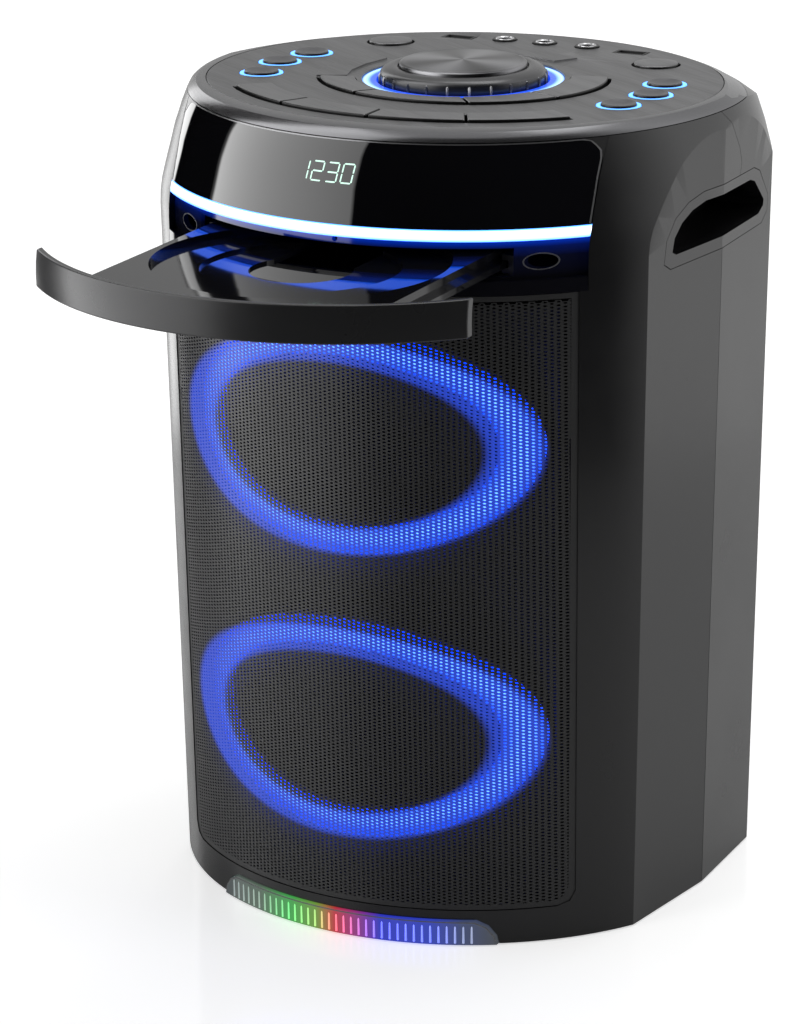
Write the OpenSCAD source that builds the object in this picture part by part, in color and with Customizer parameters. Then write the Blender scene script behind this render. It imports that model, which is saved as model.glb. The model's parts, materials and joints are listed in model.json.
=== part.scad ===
/* [Body] */
// Height of the control plate above the floor
body_height = 347; // [300:1:420]
// Dome radius of the body at the middle of its height
dome_radius = 130.6; // [120:0.1:145]
// Lean of all outer walls, wider towards the top, in degrees
wall_lean = 1; // [0:0.1:2]
// Wall thickness of the shells
wall = 3; // [2:0.1:5]
// Joint gap between neighbouring pieces
gap = 0.3; // [0.3:0.05:0.6]
// Distance of the rear face from the dome axis
rear_face = 106; // [100:0.5:112]

/* [Front] */
// Half width of the display window and the light strip
front_half = 96.5; // [90:0.5:100]
// Top edge of the display window above the floor
window_top = 343.1; // [335:0.1:344]
// Upper edge of the light strip
strip_top = 310; // [308:0.1:312]
// Lower edge of the light strip
strip_low = 305.7; // [304:0.1:307]
// Upper edge of the grille
grille_top = 283.4; // [275:0.1:285]
// Lower edge of the grille
grille_low = 16; // [14:0.5:24]
// Half width of the grille at its top
grille_half = 93.7; // [90:0.1:95]

/* [Speakers] */
// Half width of the oval light rings
ring_half_w = 79.6; // [74:0.1:80]
// Half height of the oval light rings
ring_half_h = 48; // [44:0.1:50]
// Width of the light ring band
ring_band = 14; // [8:0.1:15]
// Height of the upper speaker centre
upper_z = 217.5; // [212:0.5:224]
// Height of the lower speaker centre
lower_z = 91.5; // [86:0.5:98]

/* [Control plate] */
// Half width of the oval control plate
plate_half_w = 112.1; // [108:0.1:113]
// Half depth of the oval control plate
plate_half_d = 99.8; // [96:0.1:101]
// Thickness of the control plate
plate_t = 3.6; // [3:0.1:4]
// Travel of the push buttons
press = 0.8; // [0.4:0.1:1]
// Radius of the six small lit buttons
lit_r = 7.5; // [6:0.1:7.5]
// Radius of the two large round buttons
round_r = 10.2; // [8:0.1:11]
// Radius of the ribbed knob skirt
knob_r = 36.4; // [33:0.1:36.5]
// Height of the knob top above the plate
knob_rise = 7.6; // [5:0.1:10]

/* [Disc tray] */
// Travel from the pose in the photograph to closed
tray_in = 107; // [90:1:110]
// Half width of the tray plate
tray_half = 63.5; // [62:0.1:63.8]
// Radius of the recess for a 120 mm disc
disc_r = 60.5; // [60.3:0.1:61]
// Radius of the recess for an 80 mm disc
small_disc_r = 40.5; // [40.3:0.1:42]
// Depth of the disc recess
disc_recess = 2.8; // [2:0.1:3]
// Tooth module of the rack and pinion
tooth_m = 1; // [0.8:0.1:1]
// Teeth of the pinion
pinion_teeth = 24; // [20:1:24]

/* [Handles] */
// Depth of the hand recesses
grip_depth = 25; // [18:1:26]

/* [Hidden] */
ref_z = 157.5;
round_n = 120;
big = 500;
slope = tan(wall_lean);
// Rows of height below the plate and inset from the leaning wall
shoulder = [
  [52, 0], [47, 0.3], [42, 1.1], [36, 2.8], [27, 5.4], [19, 7.6],
  [10, 10.8], [4, 13.4], [1.6, 14.7], [0.5, 16], [0, 17.4],
];
// Rows of radius and height below the plate for the rear crown
crown_axis = -24.9;
crown = [
  [119.3, 0], [124, 1.8], [130, 5.2], [136.2, 9.7], [142, 16],
  [148, 26], [153, 38], [157, 52], [159, 67], [159, 347],
];
// Side facets as direction in degrees and distance from the axis
facets = [[-8.2, 119.9], [1.5, 119.2], [31.2, 124.6]];
seam_y = -11.2;
shell_low = 0.6;
rim_low = window_top + gap;
plate_y = -5.9;
plate_z = body_height;
plate_low = plate_z - plate_t;
deck_top = plate_low - gap;
deck_t = 4;
deck_low = deck_top - deck_t;
deck_edge = 3.4;
board_top = 330.6;
board_t = 1.6;
board_r = 98;
switch_h = 0.7;
switch_top = board_top + switch_h;
stem_low = switch_top + press + gap;
stem_r = 2.5;
stem_hole = 2.8;
collar_r = 3.8;
collar_t = 1.1;
cap_low = deck_top + press + 0.4;
cap_top = body_height + 1.1;
frame_in = 6;
lip_half = 104;
lip_rise = 8;
lip_top = deck_low - gap;
knob_y = -6;
knob_low = plate_z - 3;
well_r = 43.2;
shaft_r = 3;
run = 0.05;
encoder_h = 6;
grille_low_half = grille_half - 2.3;
panel_low = 290;
panel_top = 305.2;
panel_half = 95.5;
bay_in = wall + gap;
pin_x = 80.7;
pin_z = 296.5;
pin_r = 2;
lock_at = [2, 304];
lock_r = 1.2;
slot_half = 71.6;
slot_low = 290.5;
slot_top = 302.3;
baffle_y = -88;
baffle_t = 6;
baffle_half = 82.8;
baffle_top = 279.7;
base_t = 4;
tray_top = 300.4;
tray_low = 294.2;
tray_rear = -38.5;
disc_y = -154;
spin_y = disc_y + tray_in;
rail_half = 67.1;
flange_half = 66.6;
rail_wall = 3;
chassis_low = 280;
chassis_t = 2.4;
chassis_top = chassis_low + chassis_t;
chassis_front = -103.5;
chassis_rear = 74;
rack_low = 291.2;
rack_x = 53;
pinion_r = tooth_m * pinion_teeth / 2;
pinion_x = rack_x - pinion_r;
pinion_y = -84;
belt_reach = 38;
wheel_r = 20;
pulley_r = 6.5;
belt_z = 286.8;
rod_x = 14;
rod_r = 1.5;
rod_z = 287;
clamp_r = 15;
bridge_low = 303.5;
bridge_t = 2.5;
jack_x = [-19.5, 0, 20.5];
jack_y = 76.5;
jack_r = 3.2;
socket_at = [[-41, 74.5], [43.5, 72.5]];
lit_at = [[84, 14.8], [87.5, -7.9], [83.5, -32]];
round_at = [64, 52];
outer_cuts = [-141, -116, -90, -66, -40.5];
inner_cuts = [-153, -115, -65, -27, 23];
outer_big = 0.92;
outer_small = 0.76;
inner_out = [64, 57];
inner_in = 45.5;
// Rows of direction and radius of the deck screws
deck_screws = [[-38, 111.5], [-142, 111.5], [20, 111.5], [160, 111.5], [63, 97], [117, 97]];
base_screws = [[96, -58], [-96, -58], [102, 40], [-102, 40], [58, 92], [-58, 92]];
foot_at = [[62, -82], [-62, -82], [78, 66], [-78, 66]];
post_low = board_top + gap;
screw_hole = 1.5;
screw_r = 1.45;
port_z = 150;
port_r = 22;
inlet_z = 42;
inlet_w = 28;
inlet_h = 22;

function wall_at(z) = dome_radius + (z - ref_z) * slope;
function oval(a, b, n = 96, cx = 0, cy = 0) =
  [for (i = [0:n - 1]) [cx + a * cos(360 * i / n), cy + b * sin(360 * i / n)]];
function arc(a, b, from, to, n = 24) =
  [for (i = [0:n]) let (t = from + (to - from) * i / n) [a * cos(t), b * sin(t)]];
function flip(list) = [for (i = [len(list) - 1:-1:0]) list[i]];
function mirror_x(list) = [for (p = flip(list)) [-p[0], p[1]]];

// The dome with its rounded shoulder, shrunk by d
module dome(d) {
  side = [for (s = shoulder) [wall_at(body_height - s[0]) - s[1] - d, body_height - s[0]]];
  rotate_extrude($fn = round_n)
    polygon(concat([[0, 0], [wall_at(0) - d, 0]], side, [[0, body_height]]));
}

// The rear crown, which falls away behind the control plate
module crown_solid(d) {
  side = [for (s = crown) [s[0] - d, body_height - s[1]]];
  translate([0, crown_axis, 0])
    rotate_extrude($fn = round_n)
      polygon(concat([[0, body_height]], side, [[0, 0]]));
}

module facet_cut(angle, dist) {
  rotate([0, 0, angle])
    translate([dist, 0, ref_z])
      rotate([0, wall_lean, 0])
        translate([0, -big / 2, -big / 2])
          cube([big, big, big]);
}

module body_solid(d) {
  difference() {
    intersection() {
      dome(d);
      crown_solid(d);
    }
    for (f = facets) {
      facet_cut(f[0], f[1] - d);
      facet_cut(180 - f[0], f[1] - d);
    }
    facet_cut(90, rear_face - d);
  }
}

// Front arc of the dome between two insets and two heights
module front_band(d_out, d_in, z_low, z_high, half) {
  intersection() {
    difference() {
      dome(d_out);
      dome(d_in);
    }
    translate([-half, -big, z_low])
      cube([2 * half, big, z_high - z_low]);
  }
}

module slab(low, high) {
  translate([-big / 2, -big / 2, low])
    cube([big, big, high - low]);
}

// A plan in x and z, pushed from the front into the body
module front_prism(points, y_front, y_back) {
  translate([0, y_back, 0])
    rotate([90, 0, 0])
      linear_extrude(y_back - y_front)
        polygon(points);
}

// A plan in y and z, pushed along x
module side_prism(points, x_from, x_to) {
  translate([x_from, 0, 0])
    rotate([90, 0, 90])
      linear_extrude(x_to - x_from)
        polygon(points);
}

function grille_side(z) = grille_low_half
  + (grille_half - grille_low_half) * (z - grille_low) / (grille_top - grille_low);

// Outline of the grille, grown by g
function grille_plan(g) = let (r = 6, h = [
  [grille_side(grille_top) + g, grille_top + g],
  [grille_side(grille_low + r) + g, grille_low + r],
  [grille_side(grille_low) - 1.8 + g, grille_low + 1.8 - g],
  [grille_side(grille_low) - r + g, grille_low - g],
]) concat(h, mirror_x(h));

// Outline of everything above the grille
function upper_plan(g) = [
  [front_half + g, grille_top + gap], [front_half + g, window_top + g],
  [-front_half - g, window_top + g], [-front_half - g, grille_top + gap],
];

function lens_plan(g) = [
  [65.5 + g, shell_low - 1], [64.6 + g, 4.5], [61.5 + g, 8.8 + g], [57 + g, 11.4 + g],
  [-57 - g, 11.4 + g], [-61.5 - g, 8.8 + g], [-64.6 - g, 4.5], [-65.5 - g, shell_low - 1],
];

grip = [
  [-51, 292.3], [-49.5, 298], [-44, 303.3], [-36, 307], [-25.5, 309],
  [20, 308.4], [25.5, 306.6], [37, 296.5], [36.5, 293.8], [31, 291.3], [-48, 290.8],
];
bezel = [
  [-57, 288.5], [-55.5, 298], [-49, 306], [-39, 310.8], [-27, 313],
  [24, 312.6], [31, 310], [42, 297.5], [41.4, 290.6], [35, 286.6], [-52, 285.6],
];
bezel_mid = [-7.5, 299];
function bezel_plan(g) = [for (p = bezel) [
  bezel_mid[0] + (p[0] - bezel_mid[0]) * (1 + g / 49),
  bezel_mid[1] + (p[1] - bezel_mid[1]) * (1 + g / 13.5),
]];
cup_plan = [for (p = grip) [
  bezel_mid[0] + (p[0] - bezel_mid[0]) * 1.045,
  bezel_mid[1] + (p[1] - bezel_mid[1]) * 1.22,
]];

function seam_plan(g) = [
  [seam_y + g, -1], [seam_y + g, 300], [7 + g, 312], [9 + g, 318],
  [6 + g, 325], [-3 + g, 336], [-14 + g, body_height], [-14 + g, body_height + 20],
];
module behind_seam(g) {
  side_prism(concat(seam_plan(g), [[big, body_height + 20], [big, -1]]), -big, big);
}
module before_seam(g) {
  side_prism(concat(seam_plan(-g), [[-big, body_height + 20], [-big, -1]]), -big, big);
}

module deck_posts(spots, skin) {
  difference() {
    intersection() {
      body_solid(skin);
      for (s = spots)
        rotate([0, 0, s[0]])
          translate([s[1] - 4.5, -4.5, post_low])
            cube([45, 9, deck_low - gap - post_low]);
    }
    for (s = spots)
      rotate([0, 0, s[0]])
        translate([s[1], 0, post_low - 5])
          cylinder(r = screw_hole, h = 30, $fn = 24);
  }
}

module base_posts(spots) {
  difference() {
    intersection() {
      body_solid(2);
      for (p = spots)
        translate([p[0] * 1.08 - 9, p[1] * 1.08 - 9, base_t + gap])
          cube([18, 18, 12]);
    }
    for (p = spots)
      translate([p[0], p[1], base_t])
        cylinder(r = screw_hole, h = 30, $fn = 24);
  }
}

module front_shell() {
  color([0.03, 0.03, 0.035])
  union() {
    difference() {
      intersection() {
        body_solid(0);
        before_seam(gap / 2);
        slab(shell_low, window_top);
      }
      body_solid(wall);
      front_prism(upper_plan(gap), -big, -40);
      front_prism(grille_plan(gap), -big, -40);
      front_prism(lens_plan(gap), -big, -40);
      side_prism(bezel_plan(gap), -big, big);
    }
    difference() {
      union() {
        front_band(wall, frame_in, base_t + lip_rise, lip_top, lip_half);
        for (s = [-1, 1])
          intersection() {
            front_band(wall - 0.4, wall + 0.4, base_t + lip_rise, lip_top, lip_half);
            translate([s > 0 ? front_half + gap : -big, -big, 0])
              cube([big - (s > 0 ? 0 : front_half + gap), big, big]);
          }
      }
      front_prism([[88, 277], [86, 30], [78, 22], [-78, 22], [-86, 30], [-88, 277]], -big, -40);
      translate([-front_half - 0.6, -big, grille_top - 0.1])
        cube([2 * front_half + 1.2, big, strip_low - grille_top + 0.1]);
      translate([-80, -big, 316])
        cube([160, big, 22]);
      front_prism(lens_plan(gap), -big, -40);
    }
    deck_posts([deck_screws[0], deck_screws[1]], wall);
    base_posts([base_screws[0], base_screws[1]]);
  }
}

module rear_cover() {
  color([0.03, 0.03, 0.035])
  union() {
    difference() {
      intersection() {
        body_solid(0);
        behind_seam(gap / 2);
        slab(shell_low, window_top);
      }
      body_solid(wall);
      side_prism(bezel_plan(gap), -big, big);
      translate([0, rear_face + 10, port_z])
        rotate([90, 0, 0])
          cylinder(r = port_r, h = 30, $fn = 60);
      translate([-inlet_w / 2 - gap, rear_face - 20, inlet_z - inlet_h / 2 - gap])
        cube([inlet_w + 2 * gap, 40, inlet_h + 2 * gap]);
    }
    intersection() {
      body_solid(1);
      translate([0, rear_face + 10, port_z])
        rotate([90, 0, 0])
          difference() {
            cylinder(r = port_r + 2.5, h = 80, $fn = 60);
            translate([0, 0, -1])
              cylinder(r = port_r, h = 90, $fn = 60);
          }
    }
    intersection() {
      body_solid(2);
      for (s = [-1, 1])
        translate([s * 107 - 14, 24, chassis_low - gap - 4])
          cube([28, 34, 4]);
    }
    deck_posts([deck_screws[2], deck_screws[3], deck_screws[4], deck_screws[5]], 2);
    base_posts([base_screws[2], base_screws[3], base_screws[4], base_screws[5]]);
  }
}

module top_rim() {
  color([0.3, 0.3, 0.32])
  difference() {
    intersection() {
      body_solid(0);
      slab(rim_low, body_height + 1);
    }
    translate([0, 0, rim_low - 1])
      linear_extrude(20)
        polygon(oval(plate_half_w + gap, plate_half_d + gap, 96, 0, plate_y));
  }
}

module key_spots(hole, low, high, spots) {
  for (p = spots)
    translate([p[0], p[1], low])
      cylinder(r = hole, h = high - low, $fn = 28);
}

function on_ring(a, b, t) = [a * cos(t), b * sin(t)];
outer_mid = (outer_big + outer_small) / 2;
inner_mid = [(inner_out[0] + inner_in) / 2, (inner_out[1] + inner_in) / 2];
function outer_stems(i) = [for (k = [0.22, 0.78])
  let (t = outer_cuts[i] + (outer_cuts[i + 1] - outer_cuts[i]) * k)
  on_ring(plate_half_w * outer_mid, plate_half_d * outer_mid, t) + [0, plate_y]];
function inner_stems(i) = [for (k = [0.2, 0.8])
  let (t = inner_cuts[i] + (inner_cuts[i + 1] - inner_cuts[i]) * k)
  on_ring(inner_mid[0], inner_mid[1], t) + [0, knob_y]];
all_stems = concat(
  [for (p = lit_at) p], [for (p = lit_at) [-p[0], p[1]]],
  [round_at], [[-round_at[0], round_at[1]]],
  [for (i = [0:3]) for (p = outer_stems(i)) p],
  [for (i = [0:3]) for (p = inner_stems(i)) p]
);

module top_deck() {
  color([0.12, 0.12, 0.13])
  difference() {
    union() {
      intersection() {
        body_solid(deck_edge);
        slab(deck_low, deck_top);
      }
      for (s = [-1, 1])
        translate([s * 30 - 4, -104.7, 312])
          cube([8, 3, deck_low - 311.9]);
      for (t = [35, 145, 215, 325])
        rotate([0, 0, t])
          translate([70, 0, board_top + gap])
            cylinder(r = 3.5, h = deck_low - board_top, $fn = 24);
    }
    key_spots(stem_hole, deck_low - 1, deck_top + 1, all_stems);
    translate([0, knob_y, deck_low - 1])
      cylinder(r = 12, h = 10, $fn = 48);
    for (x = jack_x)
      translate([x, jack_y, deck_low - 1])
        cylinder(r = 5.6, h = 10, $fn = 32);
    for (p = socket_at)
      translate([p[0] - 7.6, p[1] - 4, deck_low - 1])
        cube([15.2, 8, 10]);
    for (s = deck_screws)
      rotate([0, 0, s[0]])
        translate([s[1], 0, deck_low - 1]) {
          cylinder(r = 1.8, h = 10, $fn = 24);
          translate([0, 0, deck_t - 0.8])
            cylinder(r = 3.4, h = 5, $fn = 24);
        }
  }
}

module sector(o, i, from, to, low, high, cy) {
  translate([0, cy, low])
    linear_extrude(high - low)
      polygon(concat(arc(o[0], o[1], from, to), flip(arc(i[0], i[1], from, to))));
}

module control_plate() {
  color([0.3, 0.3, 0.31])
  difference() {
    union() {
      translate([0, plate_y, plate_low])
        linear_extrude(plate_t)
          polygon(oval(plate_half_w, plate_half_d));
      translate([0, 0, plate_z - 1])
        linear_extrude(1.8)
          polygon([
            [-57.5, -31], [-45.5, -25.8], [-49, -14], [-49.5, 0], [-46.9, 15.2],
            [-56.8, 21.6], [-60.4, 7.7], [-62.9, -8.1], [-62, -20],
          ]);
      translate([0, 0, plate_z - 1])
        linear_extrude(1.8)
          polygon([
            [-1.6, 44.5], [11, 42.6], [22.2, 38.7], [28.6, 48.6], [14, 54], [-2, 55.5],
          ]);
    }
    translate([0, knob_y, plate_low - 1])
      cylinder(r = well_r, h = 10, $fn = 96);
    sector(
      [plate_half_w * outer_big, plate_half_d * outer_big],
      [plate_half_w * outer_small, plate_half_d * outer_small],
      outer_cuts[0], outer_cuts[4], plate_low - 1, plate_z + 5, plate_y
    );
    sector(
      inner_out, [inner_in, inner_in],
      inner_cuts[0], inner_cuts[4], plate_low - 1, plate_z + 5, knob_y
    );
    for (s = [-1, 1]) {
      for (p = lit_at)
        translate([s * p[0], p[1], plate_low - 1])
          cylinder(r = 9.6, h = 10, $fn = 48);
      translate([s * round_at[0], round_at[1], plate_low - 1])
        cylinder(r = round_r + 0.4, h = 10, $fn = 48);
    }
    for (x = jack_x)
      translate([x, jack_y, plate_low - 1])
        cylinder(r = 5.6, h = 10, $fn = 32);
    for (p = socket_at)
      translate([p[0] - 7.6, p[1] - 4, plate_low - 1])
        cube([15.2, 8, 10]);
  }
}

module display_window() {
  color([0.01, 0.01, 0.012])
  intersection() {
    front_band(0, wall - gap, strip_top + gap, window_top, front_half);
    front_prism([
      [front_half, strip_top], [front_half, window_top - 8], [front_half - 2, window_top - 3.2],
      [front_half - 6.5, window_top], [-front_half + 6.5, window_top],
      [-front_half + 2, window_top - 3.2], [-front_half, window_top - 8],
      [-front_half, strip_top],
    ], -big, 0);
  }
}

module display_module() {
  color([0.1, 0.2, 0.12])
  union() {
    translate([-42, -106.6, 314])
      cube([84, 1.6, 22]);
    translate([-32, -113, 318])
      cube([64, 6.4, 17]);
  }
}

module light_strip() {
  color([0.85, 0.9, 1])
  front_band(0, wall - gap, strip_low, strip_top, front_half);
}

module tray_bay() {
  color([0.02, 0.02, 0.022])
  difference() {
    union() {
      front_band(0, frame_in, grille_top + gap, panel_low - 0.4, front_half);
      front_band(bay_in, frame_in, grille_top + gap, strip_low - gap, front_half);
    }
    translate([-slot_half, -big, slot_low])
      cube([2 * slot_half, big, slot_top - slot_low]);
    for (s = [-1, 1])
      front_prism(oval(5.5, 3, 32, s * pin_x, pin_z), -big, 0);
    translate([lock_at[0], 0, lock_at[1]])
      rotate([90, 0, 0])
        cylinder(r = lock_r, h = big, $fn = 32);
  }
}

module speaker_grille() {
  color([0.12, 0.12, 0.13])
  intersection() {
    front_band(0.4, 2.6, grille_low, grille_top, big / 2);
    front_prism(grille_plan(0), -big, -40);
  }
}

ring_in_w = ring_half_w - ring_band - 0.8;
ring_in_h = ring_half_h - ring_band + 2.6;
tunnel_w = ring_in_w - 1.8;
tunnel_h = ring_in_h - 1.8;

module ring_light(z) {
  color([0.1, 0.2, 1])
  intersection() {
    difference() {
      dome(6.8);
      dome(9.3);
    }
    difference() {
      front_prism(oval(ring_half_w, ring_half_h, 96, 0, z), -big, -40);
      front_prism(oval(ring_in_w, ring_in_h, 96, 0, z), -big, 0);
    }
  }
}

module baffle() {
  color([0.05, 0.05, 0.05])
  difference() {
    union() {
      translate([-baffle_half, baffle_y, base_t + gap])
        cube([2 * baffle_half, baffle_t, baffle_top - base_t - gap]);
      intersection() {
        dome(9.6);
        for (z = [upper_z, lower_z])
          front_prism(oval(ring_half_w + 1.4, ring_half_h + 1.4, 96, 0, z), -big, baffle_y + 1);
      }
    }
    for (z = [upper_z, lower_z])
      front_prism(oval(tunnel_w, tunnel_h, 96, 0, z), -big, 0);
  }
}

module upper_ring_light() {
  ring_light(upper_z);
}

module lower_ring_light() {
  ring_light(lower_z);
}

cone_w = tunnel_w - 5;
cone_h = tunnel_h - 4;
cone_r = cone_h - 3;
cone_front = baffle_y + baffle_t + gap;
magnet_y = cone_front + 24;

module speaker(z) {
  color([0.2, 0.2, 0.2])
  union() {
    difference() {
      front_prism(oval(tunnel_w + 5, tunnel_h + 5, 96, 0, z), cone_front, cone_front + 3);
      front_prism(oval(cone_w + 0.5, cone_h + 0.5, 96, 0, z), -big, 0);
    }
    for (t = [0:3])
      translate([0, 0, z])
        speaker_leg(t);
    difference() {
      translate([0, magnet_y + 16, z])
        rotate([90, 0, 0])
          cylinder(r = 36, h = 16, $fn = 60);
      translate([0, magnet_y + 10, z])
        rotate([90, 0, 0])
          cylinder(r = 14, h = 20, $fn = 48);
    }
  }
}

// One leg of the basket from the flange back to the magnet
module speaker_leg(t) {
  side = t % 2 == 0;
  s = t < 2 ? 1 : -1;
  far = side ? tunnel_w + 2 : tunnel_h + 2;
  rotate([0, side ? 0 : 90, 0])
    translate([0, 0, -6])
      linear_extrude(12)
        polygon([
          [s * far, cone_front + 1], [s * (far - 4), cone_front + 1],
          [s * 26, magnet_y + 1], [s * 26, magnet_y + 4], [s * 32, magnet_y + 4],
        ]);
}

module upper_speaker() {
  speaker(upper_z);
}

module lower_speaker() {
  speaker(lower_z);
}

module cone(z) {
  color([0.06, 0.06, 0.07])
  translate([0, cone_front, z])
    rotate([-90, 0, 0])
      union() {
        difference() {
          linear_extrude(1.4)
            polygon(oval(cone_w, cone_h));
          translate([0, 0, -1])
            cylinder(r = cone_r, h = 4, $fn = 72);
        }
        rotate_extrude($fn = 72)
          polygon([
            [cone_r - 1, 0], [cone_r + 0.5, 0], [cone_r + 0.5, 1.4], [12, 20], [12, 29],
            [10.8, 29], [10.8, 18],
          ]);
        translate([0, 0, 16.5])
          cylinder(r = 12, h = 1.5, $fn = 48);
      }
}

module upper_cone() {
  cone(upper_z);
}

module lower_cone() {
  cone(lower_z);
}

module base_plate() {
  color([0.05, 0.05, 0.05])
  difference() {
    union() {
      intersection() {
        body_solid(wall + gap);
        slab(0, base_t);
      }
      for (s = [-1, 1])
        for (y = [-8, 66])
          translate([s * 58, y, 0])
            cylinder(r = 4, h = 11.7, $fn = 24);
    }
    for (p = foot_at)
      translate([p[0], p[1], -1])
        cylinder(r = 11.3, h = 3.3, $fn = 40);
    for (p = base_screws)
      translate([p[0], p[1], -1]) {
        cylinder(r = 1.8, h = 10, $fn = 24);
        cylinder(r = 3.4, h = 3.2, $fn = 24);
      }
  }
}

module rubber_feet() {
  color([0.02, 0.02, 0.02])
  for (p = foot_at)
    translate([p[0], p[1], 0])
      cylinder(r = 11, h = 2, $fn = 40);
}

module base_lens() {
  color([0.85, 0.87, 0.9, 0.6])
  intersection() {
    front_band(-1.5, wall, shell_low, 13, 70);
    front_prism(lens_plan(0), -big, -40);
  }
}

module base_light_board() {
  color([0.1, 0.2, 0.12])
  front_band(wall + 0.6, wall + 2.2, base_t + 0.5, 10.6, 56);
}

module handle(s) {
  floor_x = 121 - grip_depth;
  color([0.05, 0.05, 0.055])
  mirror([s < 0 ? 1 : 0, 0, 0])
    difference() {
      union() {
        intersection() {
          difference() {
            body_solid(0);
            body_solid(wall);
          }
          side_prism(bezel, 60, big);
        }
        intersection() {
          body_solid(1);
          side_prism(cup_plan, floor_x - 2.6, big);
        }
      }
      side_prism(grip, floor_x, big);
    }
}

module left_handle() {
  handle(-1);
}

module right_handle() {
  handle(1);
}

module control_board() {
  color([0.05, 0.25, 0.12])
  difference() {
    union() {
      translate([0, 0, board_top - board_t])
        cylinder(r = board_r, h = board_t, $fn = 96);
      for (p = all_stems)
        translate([p[0] - 3, p[1] - 3, board_top - 0.1])
          cube([6, 6, switch_top - board_top + 0.1]);
      translate([-7, knob_y - 7, board_top - 0.1])
        cube([14, 14, encoder_h]);
    }
    translate([0, knob_y, board_top - board_t - 1])
      cylinder(r = shaft_r + run, h = 20, $fn = 48);
    for (x = jack_x)
      translate([x, jack_y, board_top - 5])
        cylinder(r = 5.6, h = 10, $fn = 32);
    for (p = socket_at)
      translate([p[0] - 7.6, p[1] - 4, board_top - 5])
        cube([15.2, 8, 10]);
  }
}

module knob_ring_light() {
  color([0.4, 0.6, 1])
  translate([0, knob_y, plate_low])
    difference() {
      cylinder(r = well_r - 0.3, h = 2.8, $fn = 96);
      translate([0, 0, -1])
        cylinder(r = knob_r + 0.6, h = 6, $fn = 96);
    }
}

module button_light_rings() {
  color([0.4, 0.6, 1])
  for (s = [-1, 1])
    for (p = lit_at)
      translate([s * p[0], p[1], plate_low])
        difference() {
          cylinder(r = 9.3, h = plate_t, $fn = 48);
          translate([0, 0, -1])
            cylinder(r = lit_r + 0.4, h = 10, $fn = 48);
        }
}

module microphone_jacks() {
  color([0.6, 0.6, 0.62])
  for (x = jack_x)
    translate([x, jack_y, 0])
      difference() {
        union() {
          translate([0, 0, 312])
            cylinder(r = 5.2, h = plate_z - 312, $fn = 32);
          translate([0, 0, plate_z])
            cylinder(r = 5.4, h = 1.6, $fn = 32);
        }
        translate([0, 0, 315])
          cylinder(r = jack_r, h = 40, $fn = 32);
      }
}

module usb_sockets() {
  color([0.55, 0.55, 0.58])
  for (p = socket_at)
    translate([p[0], p[1], 0])
      difference() {
        translate([-7.2, -3.6, plate_z - 18])
          cube([14.4, 7.2, 18]);
        difference() {
          translate([-6.2, -2.6, plate_z - 14])
            cube([12.4, 5.2, 20]);
          translate([-5.6, -2.7, plate_z - 15])
            cube([11.2, 1.2, 13]);
        }
      }
}

module disc_chassis() {
  color([0.1, 0.1, 0.1])
  difference() {
    union() {
      translate([-rail_half - rail_wall, chassis_front, chassis_low])
        cube([2 * (rail_half + rail_wall), chassis_rear - chassis_front, chassis_t]);
      for (s = [-1, 1]) {
        translate([s > 0 ? rail_half : -rail_half - rail_wall, chassis_front, chassis_low])
          cube([rail_wall, chassis_rear - chassis_front, 18]);
        for (z = [290.2, 295.8])
          translate([s > 0 ? tray_half + 0.7 : -rail_half - 1, chassis_front, z])
            cube([rail_half + 1 - tray_half - 0.7, chassis_rear - chassis_front, 2.3]);
        translate([s > 0 ? rail_half : -rail_half - rail_wall, spin_y - 14, chassis_low])
          cube([rail_wall, 28, bridge_low + bridge_t - chassis_low]);
        translate([s > 0 ? rail_half : -rail_half - 37, 26, chassis_low])
          cube([37, 30, chassis_t]);
        for (y = [spin_y + 13, 38])
          translate([s * rod_x - 3, y, chassis_low])
            cube([6, 5, 9]);
        translate([s * rod_x, spin_y + 15, rod_z])
          rotate([-90, 0, 0])
            cylinder(r = rod_r, h = 26 - spin_y, $fn = 32);
      }
      translate([-rail_half, spin_y - 14, bridge_low])
        cube([2 * rail_half, 28, bridge_t]);
      translate([0, spin_y, chassis_low - 8])
        cylinder(r = 12, h = 12, $fn = 48);
      translate([pinion_x, pinion_y, chassis_low])
        cylinder(r = 2, h = 13, $fn = 32);
    }
    translate([-10.5, spin_y + 19, chassis_low - 1])
      cube([21, 36 - spin_y - 17, 10]);
    translate([0, spin_y, bridge_low - 1])
      cylinder(r = 12, h = 10, $fn = 48);
    translate([0, spin_y, chassis_low - 7])
      cylinder(r = 1 + run, h = 20, $fn = 24);
    translate([pinion_x, pinion_y + belt_reach, chassis_low - 1])
      cylinder(r = 3, h = 10, $fn = 24);
  }
}

module loading_motor() {
  color([0.6, 0.6, 0.6])
  translate([pinion_x, pinion_y + belt_reach, chassis_low - gap - 16])
    difference() {
      cylinder(r = 10.5, h = 16, $fn = 40);
      translate([0, 0, 4])
        cylinder(r = 1 + run, h = 20, $fn = 24);
    }
}

// Loop of a belt round two wheels, d away from their grooves
function belt_loop(big_r, small_r) = let (a = acos((big_r - small_r) / belt_reach)) concat(
  [for (i = [0:36]) let (t = 90 + a + (360 - 2 * a) * i / 36) [big_r * cos(t), big_r * sin(t)]],
  [for (i = [0:18]) let (t = 90 - a + 2 * a * i / 18)
    [small_r * cos(t), belt_reach + small_r * sin(t)]]
);

module loading_belt() {
  color([0.03, 0.03, 0.03])
  translate([pinion_x, pinion_y, belt_z])
    difference() {
      linear_extrude(1.2)
        polygon(belt_loop(wheel_r - 0.3, pulley_r - 0.5));
      translate([0, 0, -1])
        linear_extrude(4)
          polygon(belt_loop(wheel_r - 1.5, pulley_r - 1.7));
    }
}

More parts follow.
